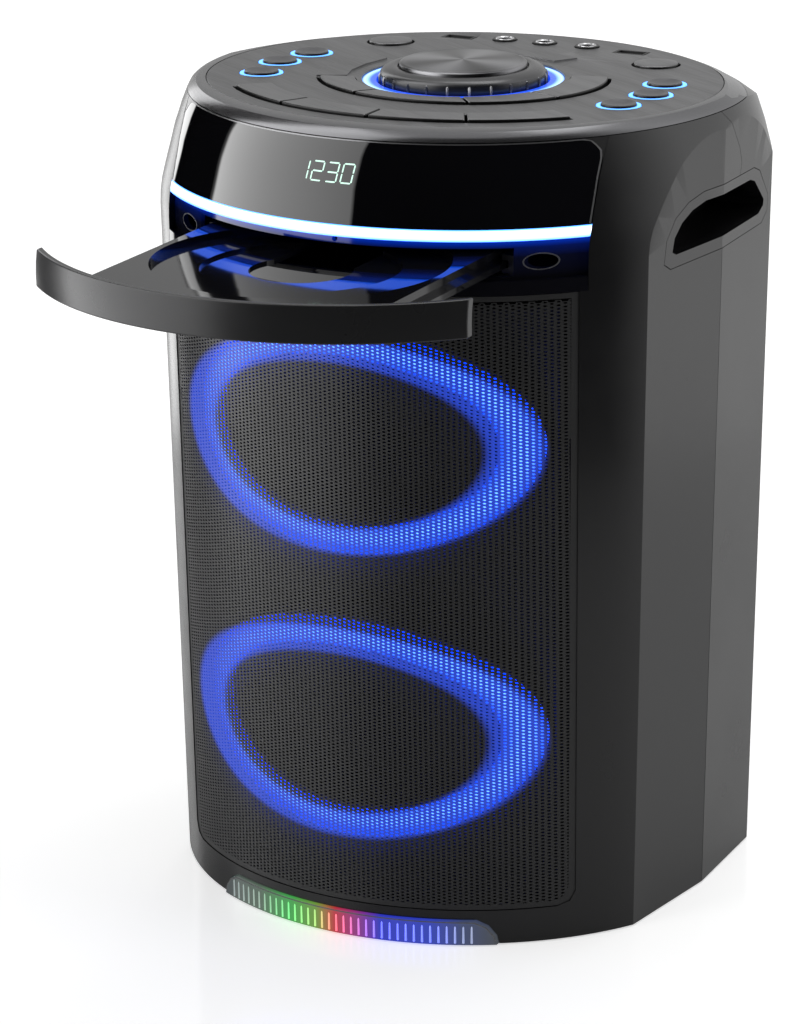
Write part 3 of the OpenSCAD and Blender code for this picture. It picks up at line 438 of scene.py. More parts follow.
class Effects:
    """Node groups that more than one finish uses, each built once."""

    _made: dict[str, bpy.types.NodeTree] = {}

    @classmethod
    def _start(cls, name: str, inputs: Sequence[tuple[str, str, object]],
               outputs: Sequence[tuple[str, str]]) -> tuple[bpy.types.NodeTree, bpy.types.Node, bpy.types.Node]:
        """Opens a new group with its sockets.

        Args:
            name: Name of the group.
            inputs: Name, socket kind and default of each input.
            outputs: Name and socket kind of each output.

        Returns:
            The group, its input node and its output node.
        """
        group = bpy.data.node_groups.new(name, "ShaderNodeTree")
        for label, kind, default in inputs:
            socket = group.interface.new_socket(name=label, in_out="INPUT", socket_type=kind)
            socket.default_value = default
        for label, kind in outputs:
            group.interface.new_socket(name=label, in_out="OUTPUT", socket_type=kind)
        return group, group.nodes.new("NodeGroupInput"), group.nodes.new("NodeGroupOutput")

    @classmethod
    def grain(cls) -> bpy.types.NodeTree:
        """Fine moulded grain: a height for bump and a mask that varies the roughness."""
        if "grain" in cls._made:
            return cls._made["grain"]
        group, inlet, outlet = cls._start(
            "moulded_grain",
            [("Scale", "NodeSocketFloat", 900.0), ("Smudge Scale", "NodeSocketFloat", 18.0),
             ("Low", "NodeSocketFloat", 0.2), ("High", "NodeSocketFloat", 0.4)],
            [("Height", "NodeSocketFloat"), ("Roughness", "NodeSocketFloat")],
        )
        nodes, links = group.nodes, group.links
        place = nodes.new("ShaderNodeTexCoord")
        fine = nodes.new("ShaderNodeTexNoise")
        fine.inputs["Detail"].default_value = 3
        links.new(place.outputs["Object"], fine.inputs["Vector"])
        links.new(inlet.outputs["Scale"], fine.inputs["Scale"])
        links.new(fine.outputs["Fac"], outlet.inputs["Height"])
        smudge = nodes.new("ShaderNodeTexNoise")
        smudge.inputs["Detail"].default_value = 4
        smudge.inputs["Roughness"].default_value = 0.6
        links.new(place.outputs["Object"], smudge.inputs["Vector"])
        links.new(inlet.outputs["Smudge Scale"], smudge.inputs["Scale"])
        spread = nodes.new("ShaderNodeMapRange")
        spread.inputs["From Min"].default_value = 0.3
        spread.inputs["From Max"].default_value = 0.7
        links.new(smudge.outputs["Fac"], spread.inputs["Value"])
        links.new(inlet.outputs["Low"], spread.inputs["To Min"])
        links.new(inlet.outputs["High"], spread.inputs["To Max"])
        links.new(spread.outputs["Result"], outlet.inputs["Roughness"])
        cls._made["grain"] = group
        return group

    @classmethod
    def brushed(cls) -> bpy.types.NodeTree:
        """Straight brush lines along Y: a height, a tone and a roughness."""
        if "brushed" in cls._made:
            return cls._made["brushed"]
        group, inlet, outlet = cls._start(
            "brush_lines",
            [("Turn", "NodeSocketFloat", 0.0), ("Low", "NodeSocketFloat", 0.3), ("High", "NodeSocketFloat", 0.5)],
            [("Height", "NodeSocketFloat"), ("Tone", "NodeSocketFloat"), ("Roughness", "NodeSocketFloat")],
        )
        nodes, links = group.nodes, group.links
        place = nodes.new("ShaderNodeTexCoord")
        turn = nodes.new("ShaderNodeVectorRotate")
        turn.rotation_type = "Z_AXIS"
        links.new(place.outputs["Object"], turn.inputs["Vector"])
        links.new(inlet.outputs["Turn"], turn.inputs["Angle"])
        stretch = nodes.new("ShaderNodeMapping")
        stretch.inputs["Scale"].default_value = (60, 2600, 200)
        links.new(turn.outputs["Vector"], stretch.inputs["Vector"])
        lines = nodes.new("ShaderNodeTexNoise")
        lines.inputs["Scale"].default_value = 1
        lines.inputs["Detail"].default_value = 3
        links.new(stretch.outputs["Vector"], lines.inputs["Vector"])
        wide = nodes.new("ShaderNodeMapping")
        wide.inputs["Scale"].default_value = (14, 160, 60)
        links.new(turn.outputs["Vector"], wide.inputs["Vector"])
        cloud = nodes.new("ShaderNodeTexNoise")
        cloud.inputs["Scale"].default_value = 1
        cloud.inputs["Detail"].default_value = 2
        links.new(wide.outputs["Vector"], cloud.inputs["Vector"])
        links.new(lines.outputs["Fac"], outlet.inputs["Height"])
        both = nodes.new("ShaderNodeMath")
        both.operation = "MULTIPLY"
        links.new(lines.outputs["Fac"], both.inputs[0])
        links.new(cloud.outputs["Fac"], both.inputs[1])
        tone = nodes.new("ShaderNodeMapRange")
        tone.inputs["From Min"].default_value = 0.12
        tone.inputs["From Max"].default_value = 0.42
        links.new(both.outputs["Value"], tone.inputs["Value"])
        links.new(tone.outputs["Result"], outlet.inputs["Tone"])
        rough = nodes.new("ShaderNodeMapRange")
        rough.inputs["From Min"].default_value = 0.3
        rough.inputs["From Max"].default_value = 0.7
        links.new(lines.outputs["Fac"], rough.inputs["Value"])
        links.new(inlet.outputs["Low"], rough.inputs["To Min"])
        links.new(inlet.outputs["High"], rough.inputs["To Max"])
        links.new(rough.outputs["Result"], outlet.inputs["Roughness"])
        cls._made["brushed"] = group
        return group

    @classmethod
    def spun(cls) -> bpy.types.NodeTree:
        """Circular turning lines about a centre: a height, and the bright fans of spun metal as a mask for painted
        sheen.
        """
        if "spun" in cls._made:
            return cls._made["spun"]
        group, inlet, outlet = cls._start(
            "spun_lines",
            [("Centre", "NodeSocketVector", (0.0, -0.006, 0.0)), ("Fans", "NodeSocketFloat", 4.0)],
            [("Height", "NodeSocketFloat"), ("Fan", "NodeSocketFloat")],
        )
        nodes, links = group.nodes, group.links
        place = nodes.new("ShaderNodeTexCoord")
        shift = nodes.new("ShaderNodeVectorMath")
        shift.operation = "SUBTRACT"
        links.new(place.outputs["Object"], shift.inputs[0])
        links.new(inlet.outputs["Centre"], shift.inputs[1])
        flat = nodes.new("ShaderNodeSeparateXYZ")
        links.new(shift.outputs["Vector"], flat.inputs["Vector"])
        plan = nodes.new("ShaderNodeCombineXYZ")
        links.new(flat.outputs["X"], plan.inputs["X"])
        links.new(flat.outputs["Y"], plan.inputs["Y"])
        radius = nodes.new("ShaderNodeVectorMath")
        radius.operation = "LENGTH"
        links.new(plan.outputs["Vector"], radius.inputs[0])
        rings = nodes.new("ShaderNodeTexNoise")
        rings.noise_dimensions = "1D"
        rings.inputs["Scale"].default_value = 5200
        rings.inputs["Detail"].default_value = 2
        links.new(radius.outputs["Value"], rings.inputs["W"])
        links.new(rings.outputs["Fac"], outlet.inputs["Height"])
        angle = nodes.new("ShaderNodeMath")
        angle.operation = "ARCTAN2"
        links.new(flat.outputs["Y"], angle.inputs[0])
        links.new(flat.outputs["X"], angle.inputs[1])
        times = nodes.new("ShaderNodeMath")
        times.operation = "MULTIPLY"
        links.new(angle.outputs["Value"], times.inputs[0])
        links.new(inlet.outputs["Fans"], times.inputs[1])
        wave = nodes.new("ShaderNodeMath")
        wave.operation = "COSINE"
        links.new(times.outputs["Value"], wave.inputs[0])
        painted_sheen = nodes.new("ShaderNodeMapRange")
        painted_sheen.inputs["From Min"].default_value = -1
        painted_sheen.inputs["From Max"].default_value = 1
        links.new(wave.outputs["Value"], painted_sheen.inputs["Value"])
        links.new(painted_sheen.outputs["Result"], outlet.inputs["Fan"])
        cls._made["spun"] = group
        return group

    @classmethod
    def oval_glow(cls) -> bpy.types.NodeTree:
        """A mask that is 1 on an oval ring in the x and z plan and fades off beside it."""
        if "oval" in cls._made:
            return cls._made["oval"]
        group, inlet, outlet = cls._start(
            "oval_glow",
            [("Centre Z", "NodeSocketFloat", 0.2), ("Half Width", "NodeSocketFloat", 0.072),
             ("Half Height", "NodeSocketFloat", 0.042), ("Band", "NodeSocketFloat", 0.1),
             ("Fade", "NodeSocketFloat", 0.1)],
            [("Mask", "NodeSocketFloat")],
        )
        nodes, links = group.nodes, group.links
        place = nodes.new("ShaderNodeTexCoord")
        parts = nodes.new("ShaderNodeSeparateXYZ")
        links.new(place.outputs["Object"], parts.inputs["Vector"])
        lift = nodes.new("ShaderNodeMath")
        lift.operation = "SUBTRACT"
        links.new(parts.outputs["Z"], lift.inputs[0])
        links.new(inlet.outputs["Centre Z"], lift.inputs[1])
        across = nodes.new("ShaderNodeMath")
        across.operation = "DIVIDE"
        links.new(parts.outputs["X"], across.inputs[0])
        links.new(inlet.outputs["Half Width"], across.inputs[1])
        up = nodes.new("ShaderNodeMath")
        up.operation = "DIVIDE"
        links.new(lift.outputs["Value"], up.inputs[0])
        links.new(inlet.outputs["Half Height"], up.inputs[1])
        plan = nodes.new("ShaderNodeCombineXYZ")
        links.new(across.outputs["Value"], plan.inputs["X"])
        links.new(up.outputs["Value"], plan.inputs["Y"])
        reach = nodes.new("ShaderNodeVectorMath")
        reach.operation = "LENGTH"
        links.new(plan.outputs["Vector"], reach.inputs[0])
        off = nodes.new("ShaderNodeMath")
        off.operation = "SUBTRACT"
        off.inputs[1].default_value = 1
        links.new(reach.outputs["Value"], off.inputs[0])
        size = nodes.new("ShaderNodeMath")
        size.operation = "ABSOLUTE"
        links.new(off.outputs["Value"], size.inputs[0])
        end = nodes.new("ShaderNodeMath")
        end.operation = "ADD"
        links.new(inlet.outputs["Band"], end.inputs[0])
        links.new(inlet.outputs["Fade"], end.inputs[1])
        fade = nodes.new("ShaderNodeMapRange")
        fade.interpolation_type = "SMOOTHSTEP"
        links.new(size.outputs["Value"], fade.inputs["Value"])
        links.new(inlet.outputs["Band"], fade.inputs["From Min"])
        links.new(end.outputs["Value"], fade.inputs["From Max"])
        fade.inputs["To Min"].default_value = 1
        fade.inputs["To Max"].default_value = 0
        links.new(fade.outputs["Result"], outlet.inputs["Mask"])
        cls._made["oval"] = group
        return group


def place_group(tree: bpy.types.NodeTree, group: bpy.types.NodeTree, **values: object) -> bpy.types.Node:
    """Puts a shared effect into a material.

    Args:
        tree: The material's node tree.
        group: The effect.
        **values: Input values, with underscores for spaces.

    Returns:
        The group's node.
    """
    node = tree.nodes.new("ShaderNodeGroup")
    node.node_tree = group
    for label, value in values.items():
        node.inputs[label.replace("_", " ")].default_value = value
    return node


# ---------------------------------------------------------------- finishes


def new_material(name: str) -> tuple[bpy.types.Material, bpy.types.NodeTree, bpy.types.Node]:
    """Starts a material and returns it with its tree and its main shader."""
    material = bpy.data.materials.new(name)
    material.use_nodes = True
    tree = material.node_tree
    return material, tree, tree.nodes["Principled BSDF"]


def add_bump(tree: bpy.types.NodeTree, shader: bpy.types.Node, height: bpy.types.NodeSocket,
             strength: float, distance: float) -> None:
    """Feeds a height into the shader's normal.

    Args:
        tree: The material's node tree.
        shader: Its main shader.
        height: The height's socket.
        strength: Strength of the bump.
        distance: Depth of the bump in millimetres.
    """
    bump = tree.nodes.new("ShaderNodeBump")
    bump.inputs["Strength"].default_value = strength
    bump.inputs["Distance"].default_value = distance * MM
    tree.links.new(height, bump.inputs["Height"])
    tree.links.new(bump.outputs["Normal"], shader.inputs["Normal"])


@dataclass(frozen=True)
class Moulded:
    """Moulded plastic or rubber, from matte to high gloss."""

    name: str
    colour: Colour
    rough: tuple[float, float] = (0.3, 0.45)
    grain: float = 900.0
    bump: float = 0.15
    depth: float = 0.05
    coat: float = 0.0
    specular: float = 0.5
    metallic: float = 0.0

    def material(self) -> bpy.types.Material:
        """Builds the finish's material."""
        material, tree, shader = new_material(self.name)
        shader.inputs["Base Color"].default_value = (*self.colour, 1)
        shader.inputs["Coat Weight"].default_value = self.coat
        shader.inputs["Coat Roughness"].default_value = 0.03
        shader.inputs["Specular IOR Level"].default_value = self.specular
        shader.inputs["Metallic"].default_value = self.metallic
        effect = place_group(tree, Effects.grain(), Scale=self.grain, Low=self.rough[0], High=self.rough[1])
        tree.links.new(effect.outputs["Roughness"], shader.inputs["Roughness"])
        if self.bump:
            add_bump(tree, shader, effect.outputs["Height"], self.bump, self.depth)
        return material


@dataclass(frozen=True)
class Brushed:
    """Metal with straight brush lines."""

    name: str
    dark: Colour
    light: Colour
    rough: tuple[float, float] = (0.28, 0.45)
    turn: float = 0.0
    metallic: float = 0.9

    def material(self) -> bpy.types.Material:
        """Builds the finish's material."""
        material, tree, shader = new_material(self.name)
        effect = place_group(tree, Effects.brushed(), Turn=self.turn, Low=self.rough[0], High=self.rough[1])
        shade = tree.nodes.new("ShaderNodeMix")
        shade.data_type = "RGBA"
        shade.inputs["A"].default_value = (*self.dark, 1)
        shade.inputs["B"].default_value = (*self.light, 1)
        tree.links.new(effect.outputs["Tone"], shade.inputs["Factor"])
        tree.links.new(shade.outputs["Result"], shader.inputs["Base Color"])
        tree.links.new(effect.outputs["Roughness"], shader.inputs["Roughness"])
        shader.inputs["Metallic"].default_value = self.metallic
        add_bump(tree, shader, effect.outputs["Height"], 0.12, 0.05)
        return material


@dataclass(frozen=True)
class Spun:
    """Metal turned on a lathe, with its bright fans painted into the colour as painted sheen."""

    name: str
    dark: Colour
    light: Colour
    centre: Point = (0.0, -0.006, 0.0)
    fans: float = 4.0
    rough: float = 0.3

    def material(self) -> bpy.types.Material:
        """Builds the finish's material."""
        material, tree, shader = new_material(self.name)
        effect = place_group(tree, Effects.spun(), Centre=self.centre, Fans=self.fans)
        shade = tree.nodes.new("ShaderNodeMix")
        shade.data_type = "RGBA"
        shade.inputs["A"].default_value = (*self.dark, 1)
        shade.inputs["B"].default_value = (*self.light, 1)
        # The fans' painted sheen lightens the colour.
        tree.links.new(effect.outputs["Fan"], shade.inputs["Factor"])
        tree.links.new(shade.outputs["Result"], shader.inputs["Base Color"])
        shader.inputs["Metallic"].default_value = 0.9
        shader.inputs["Roughness"].default_value = self.rough
        add_bump(tree, shader, effect.outputs["Height"], 0.2, 0.02)
        return material


@dataclass(frozen=True)
class Lit:
    """A lit diffuser."""

    name: str
    colour: Colour
    strength: float
    base: Colour = (0.8, 0.85, 0.9)

    def material(self) -> bpy.types.Material:
        """Builds the finish's material, a little uneven as over single lamps."""
        material, tree, shader = new_material(self.name)
        shader.inputs["Base Color"].default_value = (*self.base, 1)
        effect = place_group(tree, Effects.grain(), Scale=500.0, Smudge_Scale=60.0, Low=0.85, High=1.0)
        shade = tree.nodes.new("ShaderNodeMix")
        shade.data_type = "RGBA"
        shade.inputs["A"].default_value = (0, 0, 0, 1)
        shade.inputs["B"].default_value = (*self.colour, 1)
        tree.links.new(effect.outputs["Roughness"], shade.inputs["Factor"])
        tree.links.new(shade.outputs["Result"], shader.inputs["Emission Color"])
        shader.inputs["Emission Strength"].default_value = self.strength
        shader.inputs["Roughness"].default_value = 0.4
        return material


class Along(Enum):
    """The way along which a graded light changes its colour."""

    ACROSS = "X"
    UP = "Z"
    OUTWARD = "radius"


@dataclass(frozen=True)
class Graded:
    """A lit diffuser whose colour changes along one way, also used to paint light onto a surface that is no lamp.

    Where cast is given, other things are lit by that colour and the camera sees the graded one.
    """

    name: str
    along: Along
    start: float
    end: float
    stops: tuple[tuple[float, Colour], ...]
    strength: float
    base: Colour = (0.3, 0.4, 0.6)
    rough: tuple[float, float] = (0.2, 0.35)
    centre: tuple[float, float] = (0.0, -6.0)
    cast: Colour | None = None

    def material(self) -> bpy.types.Material:
        """Builds the finish's material."""
        material, tree, shader = new_material(self.name)
        shader.inputs["Base Color"].default_value = (*self.base, 1)
        place = tree.nodes.new("ShaderNodeTexCoord")
        parts = tree.nodes.new("ShaderNodeSeparateXYZ")
        way = tree.nodes.new("ShaderNodeMapRange")
        way.inputs["From Min"].default_value = self.start * MM
        way.inputs["From Max"].default_value = self.end * MM
        if self.along is Along.OUTWARD:
            shift = tree.nodes.new("ShaderNodeVectorMath")
            shift.operation = "SUBTRACT"
            shift.inputs[1].default_value = (self.centre[0] * MM, self.centre[1] * MM, 0)
            flat = tree.nodes.new("ShaderNodeVectorMath")
            flat.operation = "MULTIPLY"
            flat.inputs[1].default_value = (1, 1, 0)
            reach = tree.nodes.new("ShaderNodeVectorMath")
            reach.operation = "LENGTH"
            tree.links.new(place.outputs["Object"], shift.inputs[0])
            tree.links.new(shift.outputs["Vector"], flat.inputs[0])
            tree.links.new(flat.outputs["Vector"], reach.inputs[0])
            tree.links.new(reach.outputs["Value"], way.inputs["Value"])
        else:
            tree.links.new(place.outputs["Object"], parts.inputs["Vector"])
            tree.links.new(parts.outputs[self.along.value], way.inputs["Value"])
        ramp = tree.nodes.new("ShaderNodeValToRGB")
        line = ramp.color_ramp.elements
        line[0].position, line[0].color = self.stops[0][0], (*self.stops[0][1], 1)
        line[1].position, line[1].color = self.stops[-1][0], (*self.stops[-1][1], 1)
        for spot, colour in self.stops[1:-1]:
            line.new(spot).color = (*colour, 1)
        tree.links.new(way.outputs["Result"], ramp.inputs["Fac"])
        colour = ramp.outputs["Color"]
        if self.cast is not None:
            path = tree.nodes.new("ShaderNodeLightPath")
            seen = tree.nodes.new("ShaderNodeMix")
            seen.data_type = "RGBA"
            seen.inputs["A"].default_value = (*self.cast, 1)
            tree.links.new(path.outputs["Is Camera Ray"], seen.inputs["Factor"])
            tree.links.new(colour, seen.inputs["B"])
            colour = seen.outputs["Result"]
        tree.links.new(colour, shader.inputs["Emission Color"])
        shader.inputs["Emission Strength"].default_value = self.strength
        effect = place_group(tree, Effects.grain(), Scale=500.0, Low=self.rough[0], High=self.rough[1])
        tree.links.new(effect.outputs["Roughness"], shader.inputs["Roughness"])
        return material


@dataclass(frozen=True)
class OvalLit:
    """An oval light, paler along its middle than at its edges."""

    name: str
    centre_z: float
    half: tuple[float, float]
    edge: Colour
    core: Colour
    strength: float
    band: float = 0.01
    fade: float = 0.11

    def material(self) -> bpy.types.Material:
        """Builds the finish's material."""
        material, tree, shader = new_material(self.name)
        shader.inputs["Base Color"].default_value = (*self.edge, 1)
        mask = place_group(tree, Effects.oval_glow(), Centre_Z=self.centre_z * MM, Half_Width=self.half[0] * MM,
                           Half_Height=self.half[1] * MM, Band=self.band, Fade=self.fade)
        shade = tree.nodes.new("ShaderNodeMix")
        shade.data_type = "RGBA"
        shade.inputs["A"].default_value = (*self.edge, 1)
        shade.inputs["B"].default_value = (*self.core, 1)
        tree.links.new(mask.outputs["Mask"], shade.inputs["Factor"])
        tree.links.new(shade.outputs["Result"], shader.inputs["Emission Color"])
        shader.inputs["Emission Strength"].default_value = self.strength
        effect = place_group(tree, Effects.grain(), Scale=500.0, Low=0.35, High=0.5)
        tree.links.new(effect.outputs["Roughness"], shader.inputs["Roughness"])
        return material


@dataclass(frozen=True)
class PaintedBacklit:
    """A moulded finish on which the light of oval lamps behind it is painted as emission, a painted glow."""

    name: str
    body: Moulded
    ovals: tuple[OvalLit, ...]
    colour: Colour
    strength: float
    band: float = 0.1
    fade: float = 0.07

    def material(self) -> bpy.types.Material:
        """Builds the finish's material."""
        material = self.body.material()
        tree = material.node_tree
        shader = next(node for node in tree.nodes if node.type == "BSDF_PRINCIPLED")
        # Painted glow: emission in the rings' blue wherever an oval lamp lies behind the sheet.
        power = tree.nodes.new("ShaderNodeMath")
        power.operation = "MULTIPLY"
        power.inputs[1].default_value = self.strength
        lit = tree.nodes.new("ShaderNodeMath")
        lit.operation = "MAXIMUM"
        for slot, oval in enumerate(self.ovals):
            mask = place_group(tree, Effects.oval_glow(), Centre_Z=oval.centre_z * MM,
                               Half_Width=oval.half[0] * MM, Half_Height=oval.half[1] * MM,
                               Band=self.band, Fade=self.fade)
            tree.links.new(mask.outputs["Mask"], lit.inputs[slot])
        tree.links.new(lit.outputs["Value"], power.inputs[0])
        shader.inputs["Emission Color"].default_value = (*self.colour, 1)
        tree.links.new(power.outputs["Value"], shader.inputs["Emission Strength"])
        return material


class Shop:
    """Keeps each finish's material, made once."""

    _made: dict[str, bpy.types.Material] = {}

    @classmethod
    def get(cls, finish: Moulded | Brushed | Spun | Lit | Graded | OvalLit | PaintedBacklit) -> bpy.types.Material:
        """Returns the material of a finish."""
        if finish.name not in cls._made:
            cls._made[finish.name] = finish.material()
        return cls._made[finish.name]


SHELL = Moulded("shell_black", (0.006, 0.006, 0.0065), (0.2, 0.28), 1400, 0.1, 0.03)
GLOSS = Moulded("piano_black", (0.004, 0.004, 0.005), (0.005, 0.02), 300, 0.0, coat=0.5)
SATIN = Moulded("satin_black", (0.02, 0.02, 0.021), (0.35, 0.5), 1200, 0.2, 0.04)
MATTE = Moulded("matte_black", (0.012, 0.012, 0.012), (0.55, 0.75), 700, 0.3, 0.06)
RUBBER = Moulded("rubber_black", (0.01, 0.01, 0.01), (0.7, 0.9), 500, 0.4, 0.08)
RIM = Moulded("rim_satin", (0.13, 0.13, 0.135), (0.2, 0.26), 1100, 0.04, 0.02, metallic=0.85)
PLATE = Brushed("plate_grey", (0.09, 0.09, 0.092), (0.15, 0.15, 0.154), (0.3, 0.44), 0.6, 0.85)
KEY = Brushed("key_grey", (0.12, 0.12, 0.123), (0.18, 0.18, 0.185), (0.28, 0.4), 0.6, 0.85)
# The cap's light fans are painted sheen in its colour.
CAP = Spun("cap_grey", (0.04, 0.04, 0.042), (0.24, 0.24, 0.25))
STEEL = Brushed("steel", (0.4, 0.4, 0.41), (0.6, 0.6, 0.61), (0.2, 0.35), 0.3, 1.0)
BOARD = Moulded("board_green", (0.01, 0.07, 0.03), (0.35, 0.5), 400, 0.1, 0.05)
NYLON = Moulded("nylon_white", (0.7, 0.69, 0.64), (0.4, 0.55), 600, 0.1, 0.05)
BRASS = Brushed("brass", (0.5, 0.35, 0.12), (0.75, 0.55, 0.22), (0.2, 0.35), 0.0, 1.0)


# ---------------------------------------------------------------- geometry trees


class Graph:
    """A geometry tree under construction, with short hands for its nodes."""

    def __init__(self, name: str, inputs: Sequence[tuple[str, str, object]]) -> None:
        """Opens the tree.

        Args:
            name: Name of the tree.
            inputs: Name, socket kind and value of each input.
        """
        self.tree = bpy.data.node_groups.new(name, "GeometryNodeTree")
        self.values: dict[str, object] = {}
        self.tree.interface.new_socket(name="Geometry", in_out="OUTPUT", socket_type="NodeSocketGeometry")
        for label, kind, value in inputs:
            socket = self.tree.interface.new_socket(name=label, in_out="INPUT", socket_type=kind)
            self.values[socket.identifier] = value
        self.inlet = self.tree.nodes.new("NodeGroupInput")
        self.outlet = self.tree.nodes.new("NodeGroupOutput")

    def node(self, kind: str, settings: dict[str, object] | None = None, **feeds: object) -> bpy.types.Node:
        """Adds a node, sets its properties and feeds its inputs by name."""
        made = self.tree.nodes.new(kind)
        for label, value in (settings or {}).items():
            setattr(made, label, value)
        for label, value in feeds.items():
            self.feed(made.inputs[label.replace("_", " ")], value)
        return made

    def feed(self, socket: bpy.types.NodeSocket, value: object) -> None:
        """Links a socket to another, or sets its value."""
        if isinstance(value, bpy.types.NodeSocket):
            self.tree.links.new(value, socket)
        else:
            socket.default_value = value

    def value(self, label: str) -> bpy.types.NodeSocket:
        """Returns an input of the tree."""
        return self.inlet.outputs[label]

    def math(self, operation: str, first: object, second: object = 0.0) -> bpy.types.NodeSocket:
        """Adds a sum and returns its result."""
        made = self.tree.nodes.new("ShaderNodeMath")
        made.operation = operation
        self.feed(made.inputs[0], first)
        self.feed(made.inputs[1], second)
        return made.outputs[0]

    def vector(self, x: object, y: object, z: object) -> bpy.types.NodeSocket:
        """Joins three numbers to a vector."""
        return self.node("ShaderNodeCombineXYZ", X=x, Y=y, Z=z).outputs[0]

    def finish(self, geometry: bpy.types.NodeSocket, name: str, material: bpy.types.Material) -> bpy.types.Object:
        """Ends the tree and turns what it makes into a plain mesh.

        Args:
            geometry: The tree's last geometry.
            name: Name of the piece.
            material: Its material.

        Returns:
            The piece.
        """
        real = self.node("GeometryNodeRealizeInstances", Geometry=geometry)
        dressed = self.node("GeometryNodeSetMaterial", Geometry=real.outputs[0], Material=material)
        self.tree.links.new(dressed.outputs[0], self.outlet.inputs[0])
        carrier = bpy.data.objects.new(name, bpy.data.meshes.new(name))
        bpy.context.scene.collection.objects.link(carrier)
        live = carrier.modifiers.new(name, "NODES")
        live.node_group = self.tree
        for identifier, value in self.values.items():
            live[identifier] = value
        graph = bpy.context.evaluated_depsgraph_get()
        graph.update()
        plain = bpy.data.meshes.new_from_object(carrier.evaluated_get(graph))
        carrier.modifiers.remove(live)
        carrier.data = plain
        carrier.data.name = name
        return carrier


def seed_shape(name: str, points: Sequence[Point], faces: Sequence[Sequence[int]]) -> bpy.types.Object:
    """Makes the shape that a tree repeats; the tree's owner deletes it after use."""
    return mesh_object(name, points, faces)


def drop(shape: bpy.types.Object) -> None:
    """Deletes a shape that was only needed for a tree."""
    mesh = shape.data
    bpy.data.objects.remove(shape)
    bpy.data.meshes.remove(mesh)


def ring_of(name: str, shape: bpy.types.Object, count: int, centre: Point, material: bpy.types.Material,
            start: float = 0.0, span: float = 360.0) -> bpy.types.Object:
    """Repeats a shape round an upright axis.

    Args:
        name: Name of the piece.
        shape: The shape, as it stands at angle 0 about the origin.
        count: Number of copies.
        centre: Place of the axis in millimetres.
        material: Material of the piece.
        start: Angle of the first copy in degrees.
        span: Angle over which the copies are spread in degrees.

    Returns:
        The piece.
    """
    graph = Graph(name + "_tree", [
        ("Start", "NodeSocketFloat", math.radians(start)),
        ("Span", "NodeSocketFloat", math.radians(span)),
        ("Count", "NodeSocketInt", count),
        ("Centre", "NodeSocketVector", [c * MM for c in centre]),
        ("Shape", "NodeSocketObject", shape),
    ])
    points = graph.node("GeometryNodePoints", Count=graph.value("Count"), Position=graph.value("Centre"))
    index = graph.node("GeometryNodeInputIndex").outputs[0]
    angle = graph.math("ADD", graph.value("Start"), graph.math(
        "MULTIPLY", graph.math("DIVIDE", index, graph.value("Count")), graph.value("Span")))
    info = graph.node("GeometryNodeObjectInfo", Object=graph.value("Shape"))
    copies = graph.node("GeometryNodeInstanceOnPoints", Points=points.outputs[0], Instance=info.outputs["Geometry"],
                        Rotation=graph.vector(0.0, 0.0, angle))
    piece = graph.finish(copies.outputs[0], name, material)
    drop(shape)
    return piece


